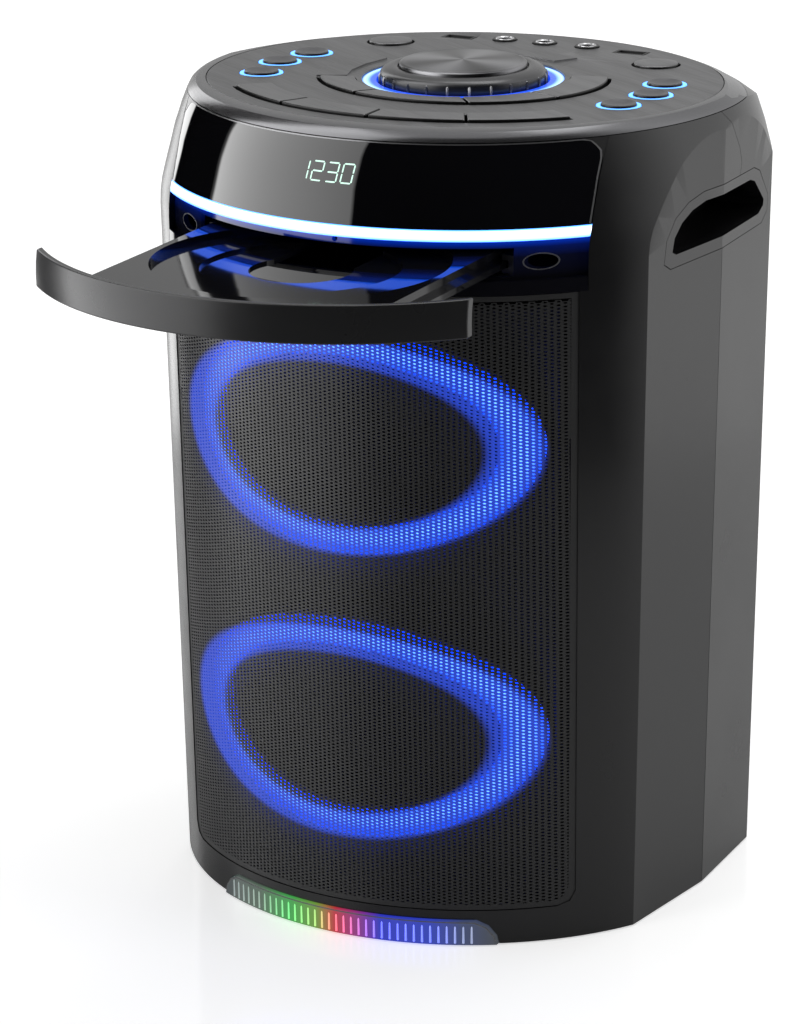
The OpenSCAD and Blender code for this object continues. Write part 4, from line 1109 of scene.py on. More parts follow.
def perforated(name: str, low: float, high: float, half_low: float, half_high: float, inset: float,
               material: bpy.types.Material, shape: bpy.types.Object, step: tuple[float, float]) -> bpy.types.Object:
    """Covers a stretch of the front dome with cells of perforated sheet.

    Args:
        name: Name of the piece.
        low: Height of the lowest cell.
        high: Height of the highest cell.
        half_low: Half width of the sheet at the lower end.
        half_high: Half width of the sheet at the upper end.
        inset: Distance of the sheet behind the dome.
        material: Material of the sheet.
        shape: One cell in the x and z plane, with its depth along y.
        step: Distance of the columns and of the cells within a column.

    Returns:
        The piece.
    """
    columns = 2 * int(max(half_low, half_high) / step[0]) + 1
    rows = int((high - low) / step[1])
    graph = Graph(name + "_tree", [
        ("Columns", "NodeSocketInt", columns),
        ("Rows", "NodeSocketInt", rows),
        ("Column Step", "NodeSocketFloat", step[0] * MM),
        ("Row Step", "NodeSocketFloat", step[1] * MM),
        ("Low", "NodeSocketFloat", low * MM),
        ("High", "NodeSocketFloat", high * MM),
        ("Half Low", "NodeSocketFloat", half_low * MM),
        ("Half High", "NodeSocketFloat", half_high * MM),
        ("Inset", "NodeSocketFloat", inset * MM),
        ("Cell", "NodeSocketObject", shape),
    ])
    total = graph.math("MULTIPLY", graph.value("Columns"), graph.value("Rows"))
    points = graph.node("GeometryNodePoints", Count=total)
    index = graph.node("GeometryNodeInputIndex").outputs[0]
    column = graph.math("FLOOR", graph.math("DIVIDE", graph.math("ADD", index, 0.5), graph.value("Rows")))
    row = graph.math("SUBTRACT", index, graph.math("MULTIPLY", column, graph.value("Rows")))
    middle = graph.math("DIVIDE", graph.math("SUBTRACT", graph.value("Columns"), 1.0), 2.0)
    odd = graph.math("MODULO", graph.math("ABSOLUTE", graph.math("SUBTRACT", column, middle)), 2.0)
    x = graph.math("MULTIPLY", graph.math("SUBTRACT", column, middle), graph.value("Column Step"))
    lift = graph.math("ADD", row, graph.math("MULTIPLY", odd, 0.5))
    z = graph.math("ADD", graph.value("Low"), graph.math("MULTIPLY", lift, graph.value("Row Step")))
    share = graph.math("DIVIDE", graph.math("SUBTRACT", z, graph.value("Low")),
                       graph.math("SUBTRACT", graph.value("High"), graph.value("Low")))
    reach = graph.math("ADD", graph.value("Half Low"),
                       graph.math("MULTIPLY", share,
                                  graph.math("SUBTRACT", graph.value("Half High"), graph.value("Half Low"))))
    keep = graph.math("LESS_THAN", graph.math("ABSOLUTE", x), reach)
    laid = graph.node("GeometryNodeSetPosition", Geometry=points.outputs[0], Position=graph.vector(x, 0.0, z))
    info = graph.node("GeometryNodeObjectInfo", Object=graph.value("Cell"))
    cells = graph.node("GeometryNodeInstanceOnPoints", Points=laid.outputs[0], Instance=info.outputs["Geometry"],
                       Selection=keep)
    real = graph.node("GeometryNodeRealizeInstances", Geometry=cells.outputs[0])
    joined = graph.node("GeometryNodeMergeByDistance", Geometry=real.outputs[0], Distance=0.00002)
    place = graph.node("ShaderNodeSeparateXYZ", Vector=graph.node("GeometryNodeInputPosition").outputs[0])
    px, py, pz = place.outputs
    wall = graph.math("ADD", Form.RADIUS * MM, graph.math(
        "MULTIPLY", graph.math("SUBTRACT", pz, Form.REF * MM), Form.LEAN))
    radius = graph.math("SUBTRACT", graph.math("SUBTRACT", wall, graph.value("Inset")), py)
    depth = graph.math("SQRT", graph.math("SUBTRACT", graph.math("MULTIPLY", radius, radius),
                                          graph.math("MULTIPLY", px, px)))
    curved = graph.node("GeometryNodeSetPosition", Geometry=joined.outputs[0],
                        Position=graph.vector(px, graph.math("MULTIPLY", depth, -1.0), pz))
    piece = graph.finish(curved.outputs[0], name, material)
    drop(shape)
    return piece


# ---------------------------------------------------------------- assemblies


@dataclass
class Assembly:
    """What all sub-assemblies share: the frame and the way a piece joins it."""

    frame: dict

    def add(self, piece: bpy.types.Object, body: str, finish: object, *nodes: str) -> bpy.types.Object:
        """Dresses a piece and fixes it to its body.

        Args:
            piece: The piece.
            body: Name of the body it rides on.
            finish: Its finish, or None where its material is set already.
            *nodes: The solids that it stands for.

        Returns:
            The piece.
        """
        if finish is not None:
            piece.data.materials.clear()
            piece.data.materials.append(Shop.get(finish))
        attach(piece, body)
        if nodes:
            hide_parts(*nodes)
        LOG.info("%s on %s: %d faces", piece.name, body, len(piece.data.polygons))
        return piece

    def copy(self, node: str, body: str, finish: object, degrees: float = 28) -> bpy.types.Object:
        """Stands a shaded copy in for a solid whose shape is right."""
        return self.add(solid_copy(node + "_dressed", self.frame["nodes"][node], degrees), body, finish, node)

    def wall(self, node: str, body: str, finish: object) -> bpy.types.Object:
        """Stands a copy in for a solid of the body's wall, with the true normals of the form."""
        piece = self.copy(node, body, finish)
        body_normals(piece)
        return piece

    def paint(self, finish: object, *nodes: str) -> None:
        """Gives solids that stay as they are their material."""
        for node in nodes:
            mesh = self.frame["nodes"][node].data
            mesh.materials.clear()
            mesh.materials.append(Shop.get(finish))
            LOG.info("%s painted %s", node, finish.name)


@dataclass
class Studio:
    """Camera, lamps, floor and background of the photograph."""

    eye: Point = (726.63, -1498.81, 681.36)
    pitch: float = 17.649
    yaw: float = 26.998
    roll: float = -0.570
    lens: float = 139.23
    lamps: tuple[tuple[str, Point, Point, tuple[float, float], float], ...] = (
        ("key_softbox", (-900, -1500, 900), (0, -60, 220), (500, 1300), 5.0),
        ("top_softbox", (100, 500, 1600), (0, 0, 330), (1200, 900), 9.0),
        ("side_softbox", (1500, 300, 600), (60, 0, 200), (700, 1400), 6.0),
    )
    screen_radius: float = 700.0
    screen_top: float = 2000.0
    screen_rows: tuple[tuple[float, float], ...] = (
        (-180, 0.0), (-166, 0.0), (-165.4, 4.6), (-140, 3.4), (-105, 2.0), (-104.4, 0.0), (-14, 0.0),
        (20, 1.5), (60, 0.9), (110, 0.6), (146, 0.5), (147, 2.6), (162, 2.6), (163, 0.0), (180, 0.0),
    )

    def build(self) -> None:
        """Sets up the whole studio."""
        self.camera()
        self.background()
        self.floor()
        self.screen()
        for name, place, aim, size, power in self.lamps:
            self.lamp(name, place, aim, size, power)

    def screen(self) -> None:
        """Stands a screen round the object that only shows up in its reflections."""
        steps = 96
        points: list[Point] = []
        for z in (0.5, self.screen_top):
            for i in range(steps):
                t = 2 * math.pi * i / steps
                points.append((self.screen_radius * math.cos(t), self.screen_radius * math.sin(t), z))
        faces = [[i, steps + i, steps + (i + 1) % steps, (i + 1) % steps] for i in range(steps)]
        screen = mesh_object("reflection_screen", points, faces)
        material = bpy.data.materials.new("reflection_screen")
        material.use_nodes = True
        tree = material.node_tree
        tree.nodes.clear()
        place = tree.nodes.new("ShaderNodeTexCoord")
        parts = tree.nodes.new("ShaderNodeSeparateXYZ")
        tree.links.new(place.outputs["Object"], parts.inputs["Vector"])
        angle = tree.nodes.new("ShaderNodeMath")
        angle.operation = "ARCTAN2"
        tree.links.new(parts.outputs["Y"], angle.inputs[0])
        tree.links.new(parts.outputs["X"], angle.inputs[1])
        share = tree.nodes.new("ShaderNodeMapRange")
        share.inputs["From Min"].default_value = -math.pi
        share.inputs["From Max"].default_value = math.pi
        tree.links.new(angle.outputs["Value"], share.inputs["Value"])
        curve = tree.nodes.new("ShaderNodeFloatCurve")
        line = curve.mapping.curves[0]
        peak = max(value for _, value in self.screen_rows)
        places = [((degrees + 180) / 360, value / peak) for degrees, value in self.screen_rows]
        line.points[0].location, line.points[1].location = places[0], places[-1]
        for spot in places[1:-1]:
            line.points.new(*spot)
        for point in line.points:
            point.handle_type = "VECTOR"
        curve.mapping.update()
        tree.links.new(share.outputs["Result"], curve.inputs["Value"])
        level = tree.nodes.new("ShaderNodeMath")
        level.operation = "MULTIPLY"
        level.inputs[1].default_value = peak
        tree.links.new(curve.outputs["Value"], level.inputs[0])
        glow = tree.nodes.new("ShaderNodeEmission")
        tree.links.new(level.outputs["Value"], glow.inputs["Strength"])
        clear = tree.nodes.new("ShaderNodeBsdfTransparent")
        side = tree.nodes.new("ShaderNodeNewGeometry")
        mix = tree.nodes.new("ShaderNodeMixShader")
        tree.links.new(side.outputs["Backfacing"], mix.inputs["Fac"])
        tree.links.new(glow.outputs["Emission"], mix.inputs[1])
        tree.links.new(clear.outputs["BSDF"], mix.inputs[2])
        out = tree.nodes.new("ShaderNodeOutputMaterial")
        tree.links.new(mix.outputs["Shader"], out.inputs["Surface"])
        screen.data.materials.append(material)
        screen.visible_camera = False
        screen.visible_diffuse = False
        screen.visible_shadow = False
        screen.visible_transmission = False
        screen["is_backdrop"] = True

    def camera(self) -> None:
        """Places the camera at the photograph's viewpoint."""
        p, y, r = (math.radians(a) for a in (self.pitch, self.yaw, self.roll))
        ahead = Vector((-math.sin(y) * math.cos(p), math.cos(y) * math.cos(p), -math.sin(p)))
        right = Vector((math.cos(y), math.sin(y), 0))
        up = right.cross(ahead)
        turned_right = math.cos(r) * right + math.sin(r) * up
        turned_up = -math.sin(r) * right + math.cos(r) * up
        matrix = Matrix((turned_right, turned_up, -ahead)).transposed().to_4x4()
        matrix.translation = Vector(self.eye) * MM
        data = bpy.data.cameras.new("camera")
        data.lens = self.lens
        data.sensor_width = 36
        data.sensor_fit = "AUTO"
        data.clip_end = 50
        camera = bpy.data.objects.new("camera", data)
        camera.matrix_world = matrix
        bpy.context.scene.collection.objects.link(camera)
        bpy.context.scene.camera = camera

    def background(self) -> None:
        """Makes the world white to the eye and plain grey as a light."""
        world = bpy.data.worlds.new("white_room")
        bpy.context.scene.world = world
        world.use_nodes = True
        tree = world.node_tree
        shade = tree.nodes["Background"]
        shade.inputs["Color"].default_value = (1, 1, 1, 1)
        rays = tree.nodes.new("ShaderNodeLightPath")
        seen = tree.nodes.new("ShaderNodeMath")
        seen.operation = "MAXIMUM"
        tree.links.new(rays.outputs["Is Camera Ray"], seen.inputs[0])
        through = tree.nodes.new("ShaderNodeMath")
        through.operation = "MAXIMUM"
        tree.links.new(rays.outputs["Is Transmission Ray"], through.inputs[0])
        tree.links.new(rays.outputs["Is Glossy Ray"], through.inputs[1])
        tree.links.new(through.outputs["Value"], seen.inputs[1])
        strength = tree.nodes.new("ShaderNodeMapRange")
        strength.inputs["To Min"].default_value = 0.35
        strength.inputs["To Max"].default_value = 1.0
        tree.links.new(seen.outputs["Value"], strength.inputs["Value"])
        tree.links.new(strength.outputs["Result"], shade.inputs["Strength"])

    def floor(self) -> None:
        """Lays a white floor that keeps the shadow and a faint reflection."""
        half = 6000
        floor = mesh_object("floor", [(-half, -half, 0), (half, -half, 0), (half, half, 0), (-half, half, 0)],
                            [[0, 1, 2, 3]])
        material, tree, shader = new_material("floor_white")
        shader.inputs["Base Color"].default_value = (0.9, 0.9, 0.9, 1)
        shader.inputs["Roughness"].default_value = 0.12
        shader.inputs["Specular IOR Level"].default_value = 0.35
        rays = tree.nodes.new("ShaderNodeLightPath")
        glow = tree.nodes.new("ShaderNodeMath")
        glow.operation = "MULTIPLY"
        glow.inputs[1].default_value = 0.55
        tree.links.new(rays.outputs["Is Camera Ray"], glow.inputs[0])
        shader.inputs["Emission Color"].default_value = (1, 1, 1, 1)
        tree.links.new(glow.outputs["Value"], shader.inputs["Emission Strength"])
        floor.data.materials.append(material)
        floor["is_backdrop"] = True

    def lamp(self, name: str, place: Point, aim: Point, size: tuple[float, float], power: float) -> None:
        """Adds one softbox.

        Args:
            name: Name of the lamp.
            place: Its place in millimetres.
            aim: The point it faces.
            size: Its width and height in millimetres.
            power: Its power in watts.
        """
        data = bpy.data.lights.new(name, "AREA")
        data.shape = "RECTANGLE"
        data.size, data.size_y = size[0] * MM, size[1] * MM
        data.energy = power
        lamp = bpy.data.objects.new(name, data)
        lamp.location = Vector(place) * MM
        way = (Vector(aim) - Vector(place)).normalized()
        lamp.rotation_euler = way.to_track_quat("-Z", "Y").to_euler()
        bpy.context.scene.collection.objects.link(lamp)


@dataclass
class Cabinet(Assembly):
    """The shells, the rim and the hand recesses."""

    def build(self) -> None:
        """Dresses the outer walls."""
        for node in ("front_shell", "rear_cover", "left_handle", "right_handle"):
            self.wall(node, "cabinet", SHELL)
        self.wall("top_rim", "cabinet", RIM)
        self.wall("power_inlet", "cabinet", SATIN)
        self.paint(RUBBER, "rubber_feet")
        self.paint(SATIN, "base_plate", "top_deck", "baffle", "disc_chassis")
        self.paint(STEEL, "case_screws")
        self.paint(BOARD, "control_board", "amplifier_board", "base_light_board", "display_module")


@dataclass
class Front(Assembly):
    """Display window, light strip and the bay round the disc tray."""

    half: float = 96.5
    strip: tuple[float, float] = (305.7, 310.0)
    window_top: float = 343.1
    hole: tuple[float, float] = (5.5, 3.0)
    pin: tuple[float, float] = (80.7, 296.5)
    bay_inset: float = 3.3
    digits: str = "1230"
    digit_size: tuple[float, float] = (4.8, 7.4)
    digit_start: float = -17.0
    digit_pitch: float = 6.8
    digit_low: float = 326.4
    digit_slant: float = 0.14
    stroke: float = 0.55

    def build(self) -> None:
        """Dresses the front's upper part."""
        self.wall("display_window", "cabinet", GLOSS)
        # The bay's emission is painted blue light from the strip above it.
        self.wall("tray_bay", "cabinet", BAY_PAINTED_LIGHT)
        self.add(self.trim(), "cabinet", TRIM)
        for sign in (-1, 1):
            self.add(self.eyelet(sign), "cabinet", TRIM)
        for sign in (-1, 1):
            self.add(self.corner(sign), "cabinet", SHELL)
        strip = front_band("light_strip_dressed", self.half, *self.strip, 0, 2.7, 120)
        self.add(strip, "cabinet", STRIP, "light_strip")
        self.add(self.numbers(), "cabinet", DIGIT)

    def eyelet(self, sign: int) -> bpy.types.Object:
        """Builds the thin bright ring round one pin hole of the bay."""
        steps = 48
        points: list[Point] = []
        for grow, depth in ((0.1, -0.15), (0.55, -0.15), (0.55, 0.3), (0.1, 0.3)):
            for x, z in oval(self.hole[0] + grow, self.hole[1] + grow, steps, sign * self.pin[0], self.pin[1]):
                points.append((x, -math.sqrt((Form.dome(z) - self.bay_inset - depth) ** 2 - x * x), z))
        faces = []
        for k in range(4):
            a, b = k * steps, (k + 1) % 4 * steps
            faces += [[a + i, a + (i + 1) % steps, b + (i + 1) % steps, b + i] for i in range(steps)]
        piece = mesh_object(f"bay_eyelet_{'right' if sign > 0 else 'left'}", points, faces)
        outward(piece)
        smooth(piece, 35)
        return piece

    def edge_path(self) -> Outline:
        """Walks along the window's edge from its lower left to its lower right corner."""
        rise = np.linspace(self.strip[1] + 0.6, self.window_top - 8, 24)
        right = [(self.half, float(z)) for z in rise] + [
                 (self.half - 0.6, self.window_top - 5), (self.half - 2, self.window_top - 3.2),
                 (self.half - 4, self.window_top - 1.2), (self.half - 6.5, self.window_top)]
        across = [(float(x), self.window_top) for x in np.linspace(-self.half + 6.5, self.half - 6.5, 61)[1:-1]]
        return [(-x, z) for x, z in right] + across + right[::-1]

    def trim(self) -> bpy.types.Object:
        """Builds the thin pale line along the window's edge."""
        path = self.edge_path()
        points: list[Point] = []
        for depth in (-0.1, 0.3):
            for pull in (0.15, 0.6):
                for x, z in path:
                    inner_x = x - math.copysign(pull, x) * min(abs(x) / self.half, 1)
                    inner_z = min(z, self.window_top - pull)
                    points.append((inner_x, -math.sqrt((Form.dome(inner_z) - depth) ** 2 - inner_x ** 2), inner_z))
        count = len(path)
        faces = []
        for i in range(count - 1):
            for a, b in ((0, 1), (1, 3), (3, 2), (2, 0)):
                faces.append([a * count + i, a * count + i + 1, b * count + i + 1, b * count + i])
        faces += [[0, count, 3 * count, 2 * count], [count - 1, 3 * count - 1, 4 * count - 1, 2 * count - 1]]
        piece = mesh_object("window_trim", points, faces)
        outward(piece)
        smooth(piece, 35)
        return piece

    def corner(self, sign: int) -> bpy.types.Object:
        """Builds the bit of shell beside the window's rounded upper corner."""
        path = [p for p in self.edge_path() if p[0] > self.half - 6.6 and p[1] > self.window_top - 8.1]
        outer = (self.half + 0.2, self.window_top - 0.05)
        plan = [(sign * x, min(z, self.window_top - 0.05))
                for x, z in path + [(self.half + 0.2, self.window_top - 8), outer]]
        count = len(plan)
        points: list[Point] = []
        for depth in (0.05, 2.4):
            points += [(x, -math.sqrt((Form.dome(z) - depth) ** 2 - x * x), z) for x, z in plan]
        faces = [list(range(count)), list(range(count, 2 * count))[::-1]]
        faces += [[i, (i + 1) % count, count + (i + 1) % count, count + i] for i in range(count)]
        piece = mesh_object(f"window_corner_{'right' if sign > 0 else 'left'}", points, faces)
        outward(piece)
        smooth(piece, 25)
        return piece

    def numbers(self) -> bpy.types.Object:
        """Builds the lit digits as thin bars that follow the window."""
        wide, tall = self.digit_size
        bars = {
            "a": ((0, tall), (wide, tall)), "b": ((wide, tall), (wide, tall / 2)),
            "c": ((wide, tall / 2), (wide, 0)), "d": ((0, 0), (wide, 0)),
            "e": ((0, tall / 2), (0, 0)), "f": ((0, tall), (0, tall / 2)),
            "g": ((0, tall / 2), (wide, tall / 2)),
        }
        lit = {"0": "abcdef", "1": "bc", "2": "abged", "3": "abgcd"}
        points: list[Point] = []
        faces: list[list[int]] = []
        for place, digit in enumerate(self.digits):
            for bar in lit[digit]:
                (x0, z0), (x1, z1) = bars[bar]
                way = Vector((x1 - x0, z1 - z0)).normalized()
                across = Vector((-way.y, way.x)) * self.stroke / 2
                cut = way * self.stroke * 0.75
                plan = [Vector((x0, z0)) + cut * 0.5, Vector((x0, z0)) + cut + across, Vector((x1, z1)) - cut + across,
                        Vector((x1, z1)) - cut * 0.5, Vector((x1, z1)) - cut - across, Vector((x0, z0)) + cut - across]
                first = len(points)
                for depth in (-0.16, 0.12):
                    for corner in plan:
                        x = self.digit_start + place * self.digit_pitch + corner.x + corner.y * self.digit_slant
                        z = self.digit_low + corner.y
                        points.append((x, -math.sqrt((Form.dome(z) - depth) ** 2 - x * x), z))
                faces.append([first + i for i in range(6)])
                faces.append([first + 6 + i for i in range(6)][::-1])
                faces += [[first + i, first + 6 + i, first + 6 + (i + 1) % 6, first + (i + 1) % 6] for i in range(6)]
        piece = mesh_object("display_digits", points, faces)
        outward(piece)
        return piece


@dataclass
class Speakers(Assembly):
    """Perforated grille with the lit rings and the loudspeakers behind it."""

    low: float = 16.0
    high: float = 283.4
    half_low: float = 91.4
    half_high: float = 93.7
    flange: float = 1.6
    inset: float = 0.4
    thick: float = 0.7
    step: tuple[float, float] = (2.13, 1.47)
    hole: tuple[float, float] = (0.74, 0.44)

    def build(self) -> None:
        """Dresses the grille and what is behind it."""
        start = self.low + self.flange
        half_rows = int((self.high - self.flange - start) / (2 * self.step[1]))
        middle = start + half_rows * self.step[1]
        width = (self.half_low + self.half_high) / 2
        sheets = [
            self.sheet("grille_sheet_lower", start, middle + self.step[1] / 4, self.half_low, width),
            self.sheet("grille_sheet_upper", middle, self.high - self.flange, width, self.half_high),
        ]
        for sheet in sheets:
            self.add(sheet, "cabinet", None, "speaker_grille")
        # The grille's finish carries the rings' blue as a painted glow.
        self.add(self.frame_piece(), "cabinet", GRILLE_PAINTED_GLOW, "speaker_grille")
        self.wall("upper_ring_light", "cabinet", UPPER_RING)
        self.wall("lower_ring_light", "cabinet", LOWER_RING)
        self.paint(MATTE, "upper_speaker", "lower_speaker", "upper_cone", "lower_cone")

    def cell(self) -> bpy.types.Object:
        """Builds one six-sided cell with its hole."""
        dx, dz = self.step
        reach = (dx * dx + dz * dz / 4) / 2
        flat = (reach - dz * dz / 4) / dx
        tip = reach / dx
        outer = [(tip, 0), (flat, dz / 2), (-flat, dz / 2), (-tip, 0), (-flat, -dz / 2), (flat, -dz / 2)]
        inner = [(self.hole[0] * math.cos(t), self.hole[1] * math.sin(t))
                 for t in (0, math.pi / 3, 2 * math.pi / 3, math.pi, 4 * math.pi / 3, 5 * math.pi / 3)]
        points = [(x, 0, z) for x, z in outer + inner] + [(x, self.thick, z) for x, z in inner]
        faces = [[i, (i + 1) % 6, 6 + (i + 1) % 6, 6 + i] for i in range(6)]
        faces += [[6 + i, 6 + (i + 1) % 6, 12 + (i + 1) % 6, 12 + i] for i in range(6)]
        return mesh_object("grille_cell", points, faces)

    def sheet(self, name: str, low: float, high: float, half_low: float, half_high: float) -> bpy.types.Object:
        """Builds one half of the perforated sheet."""
        return perforated(name, low, high, half_low - self.flange, half_high - self.flange, self.inset + 0.05,
                          Shop.get(GRILLE_PAINTED_GLOW), self.cell(), self.step)

    def frame_piece(self) -> bpy.types.Object:
        """Builds the plain edge round the perforated sheet."""
        outer: list[tuple[float, float]] = []
        for z in np.linspace(self.low + 6, self.high, 30):
            share = (z - self.low) / (self.high - self.low)
            outer.append((self.half_low + share * (self.half_high - self.half_low), float(z)))
        outer += [(x, self.high) for x in np.linspace(self.half_high, -self.half_high, 41)[1:-1]]
        outer += [(-x, z) for x, z in outer[:30][::-1]]
        corner = [(-self.half_low + 6 - 6 * math.cos(t), self.low + 6 - 6 * math.sin(t))
                  for t in np.linspace(0, math.pi / 2, 7)[1:]]
        outer += corner
        outer += [(float(x), self.low) for x in np.linspace(-self.half_low + 6, self.half_low - 6, 41)[1:-1]]
        outer += [(-x, z) for x, z in corner[::-1]]
        centre = (self.low + self.high) / 2
        inner = [(x * (1 - self.flange * 1.4 / self.half_high),
                  centre + (z - centre) * (1 - self.flange * 1.4 / (self.high - centre))) for x, z in outer]
        count = len(outer)
        points: list[Point] = []
        for depth, plan in ((self.inset, outer), (self.inset, inner), (2.6, inner), (2.6, outer)):
            for x, z in plan:
                points.append((x, -math.sqrt((Form.wall(z) - depth) ** 2 - x * x), z))
        faces = []
        for k in range(4):
            a, b = k * count, ((k + 1) % 4) * count
            faces += [[a + i, a + (i + 1) % count, b + (i + 1) % count, b + i] for i in range(count)]
        piece = mesh_object("grille_edge", points, faces)
        outward(piece)
        smooth(piece, 25)
        return piece


@dataclass
class ControlTop(Assembly):
    """Brushed plate with its keys, buttons, sockets and the knob."""

    plate_half: tuple[float, float] = (112.1, 99.8)
    plate_y: float = -5.9
    knob_y: float = -6.0
    lit_at: tuple[tuple[float, float], ...] = ((84, 14.8), (87.5, -7.9), (83.5, -32))
    lit_r: float = 7.5
    round_at: tuple[float, float] = (64, 52)
    round_r: float = 10.2
    outer_cuts: tuple[float, ...] = (-141, -116, -90, -66, -40.5)
    inner_cuts: tuple[float, ...] = (-153, -115, -65, -27, 23)
    outer_share: tuple[float, float] = (0.92, 0.76)
    inner_out: tuple[float, float] = (64, 57)
    inner_in: float = 45.5
    cap_low: float = 344.3
    cap_top: float = 348.1
    stem_low: float = 332.4
    stem_r: float = 2.5
    edge: float = 0.5
    front_slot: float = 1.5
    round_slot: float = 0.6
    knob_ribs: int = 24
    jack_x: tuple[float, ...] = (-19.5, 0.0, 20.5)
    jack_y: float = 76.5
    top: float = 347.0

    def build(self) -> None:
        """Dresses the whole top."""
        plate = self.copy("control_plate", "cabinet", PLATE)
        flatten(plate)
        bevel(plate, 0.35)
        self.buttons()
        self.keys()
        self.knob()
        self.copy("knob_ring_light", "cabinet", KNOB_LIGHT)
        self.copy("button_light_rings", "cabinet", BUTTON_LIGHT)
        self.jacks()
        self.copy("usb_sockets", "cabinet", MATTE)

    def jacks(self) -> None:
        """Builds the three microphone jacks: a dark barrel with a bright inner ring, nearly flush."""
        top = self.top
        for number, x in enumerate(self.jack_x):
            barrel = [(3.2, top - 32), (5.2, top - 32), (5.2, top), (5.4, top + 0.02), (5.4, top + 0.45),
                      (5.1, top + 0.7), (4.3, top + 0.7), (3.2, top + 0.4)]
            ring = [(3.0, top - 3), (4.2, top - 3), (4.2, top + 0.7), (4.0, top + 0.95),
                    (3.5, top + 0.95), (3.0, top + 0.5)]
            self.add(turned(f"jack_barrel_{number + 1}", barrel, (x, self.jack_y), 48),
                     "cabinet", SIDE_SHADE_AND_JACK_BLACK, "microphone_jacks")
            self.add(turned(f"jack_ring_{number + 1}", ring, (x, self.jack_y), 48),
                     "cabinet", STEEL, "microphone_jacks")

    def buttons(self) -> None:
        """Builds the six dished lit buttons and the two domed ones."""
        rows = ("rear", "middle", "front")
        for side, sign in (("left", -1), ("right", 1)):
            for row, (x, y) in zip(rows, self.lit_at):
                dish = [(self.lit_r - 0.6, self.cap_top), (self.lit_r - 1.2, self.cap_top - 0.25),
                        (self.lit_r - 3, self.cap_top - 0.9), (self.lit_r - 5.5, self.cap_top - 1.3),
                        (0, self.cap_top - 1.4)]
                self.button(f"lit_button_{side}_{row}", (sign * x, y), self.lit_r, dish, LIT_CAP)
            reach = self.round_r - self.round_slot
            crown = [(reach - 0.7, self.cap_top - 0.2), (reach - 1.6, self.cap_top - 0.05),
                     (reach - 5, self.cap_top - 0.02), (0, self.cap_top)]
            self.button(f"round_button_{side}", (sign * self.round_at[0], self.round_at[1]),
                        self.round_r - self.round_slot, crown, KEY)

    def button(self, node: str, place: tuple[float, float], radius: float, top: Outline, finish: object) -> None:
        """Builds one round button with its stem.

        Args:
            node: The solid it stands for.
            place: Its place in plan.
            radius: Radius of the cap.
            top: Profile of the top from near the rim to the axis.
            finish: Finish of the cap.
        """
        side = top[0][1]
        profile = [(0, self.stem_low), (self.stem_r, self.stem_low), (self.stem_r, self.cap_low),
                   (radius, self.cap_low),
                   (radius, side - 0.9), (radius - 0.15, side - 0.35), (radius - 0.35, side - 0.1)] + top
        piece = turned(node + "_dressed", profile, place, 64, 40)
        self.add(piece, node, finish, node)
        # The button's side walls get painted shade.
        paint_side_shade(piece, SIDE_SHADE_AND_JACK_BLACK)

    def keys(self) -> None:
        """Builds the arc-shaped keys of both rings."""
        a, b = self.plate_half
        big, small = self.outer_share
        for i in range(4):
            self.key(f"outer_key_{i + 1}", (a * big, b * big), (a * small, b * small),
                     self.outer_cuts[i], self.outer_cuts[i + 1], self.plate_y)
            self.key(f"inner_key_{i + 1}", self.inner_out, (self.inner_in, self.inner_in),
                     self.inner_cuts[i], self.inner_cuts[i + 1], self.knob_y)

    def key(self, node: str, outer: tuple[float, float], inner: tuple[float, float],
            start: float, end: float, cy: float) -> None:
        """Builds one arc key.

        Args:
            node: The solid it stands for.
            outer: Half sizes of its outer edge.
            inner: Half sizes of its inner edge.
            start: First angle.
            end: Last angle.
            cy: Centre of the arcs along Y.
        """
        e = self.edge
        turn = math.degrees(e / ((outer[0] + inner[0]) / 2))
        slot = self.front_slot
        outline = sector((outer[0] - slot, outer[1] - slot), (inner[0] + e, inner[1] + e),
                         start + turn, end - turn, cy, 28)
        cap = extruded(node + "_dressed", outline, self.cap_low, self.cap_top)
        bevel(cap, 0.7, 3)
        share = (0.22, 0.78) if node.startswith("outer") else (0.2, 0.8)
        mid = ((outer[0] + inner[0]) / 2, (outer[1] + inner[1]) / 2)
        stems = []
        for k in share:
            t = math.radians(start + (end - start) * k)
            spot = (mid[0] * math.cos(t), cy + mid[1] * math.sin(t))
            stems.append(turned(node + "_stem", [(0, self.stem_low), (self.stem_r, self.stem_low),
                                                 (self.stem_r, self.cap_low), (0, self.cap_low)], spot, 20))
        join(cap, stems)
        self.add(cap, node, KEY, node)
        # The key's side walls get painted shade.
        paint_side_shade(cap, SIDE_SHADE_AND_JACK_BLACK)

    def knob(self) -> None:
        """Builds the ribbed skirt and the turned cap of the volume knob."""
        y = self.knob_y
        base, lip = 344.0, 352.4
        skirt = [(0, base + 1.5), (30, base + 1.5), (30, base), (35.2, base), (35.4, base + 0.4), (35.4, base + 5.2),
                 (35.1, base + 6), (34.4, base + 6.9), (33.2, base + 7.6), (31.4, base + 8.15), (30.2, lip),
                 (28.6, lip), (28, lip - 0.3), (27.8, lip - 0.8), (27.8, 351), (0, 351)]
        turned_skirt = turned("volume_knob_dressed", skirt, (0, y), 144)
        self.add(turned_skirt, "volume_knob", SHOULDER_GREY, "volume_knob")
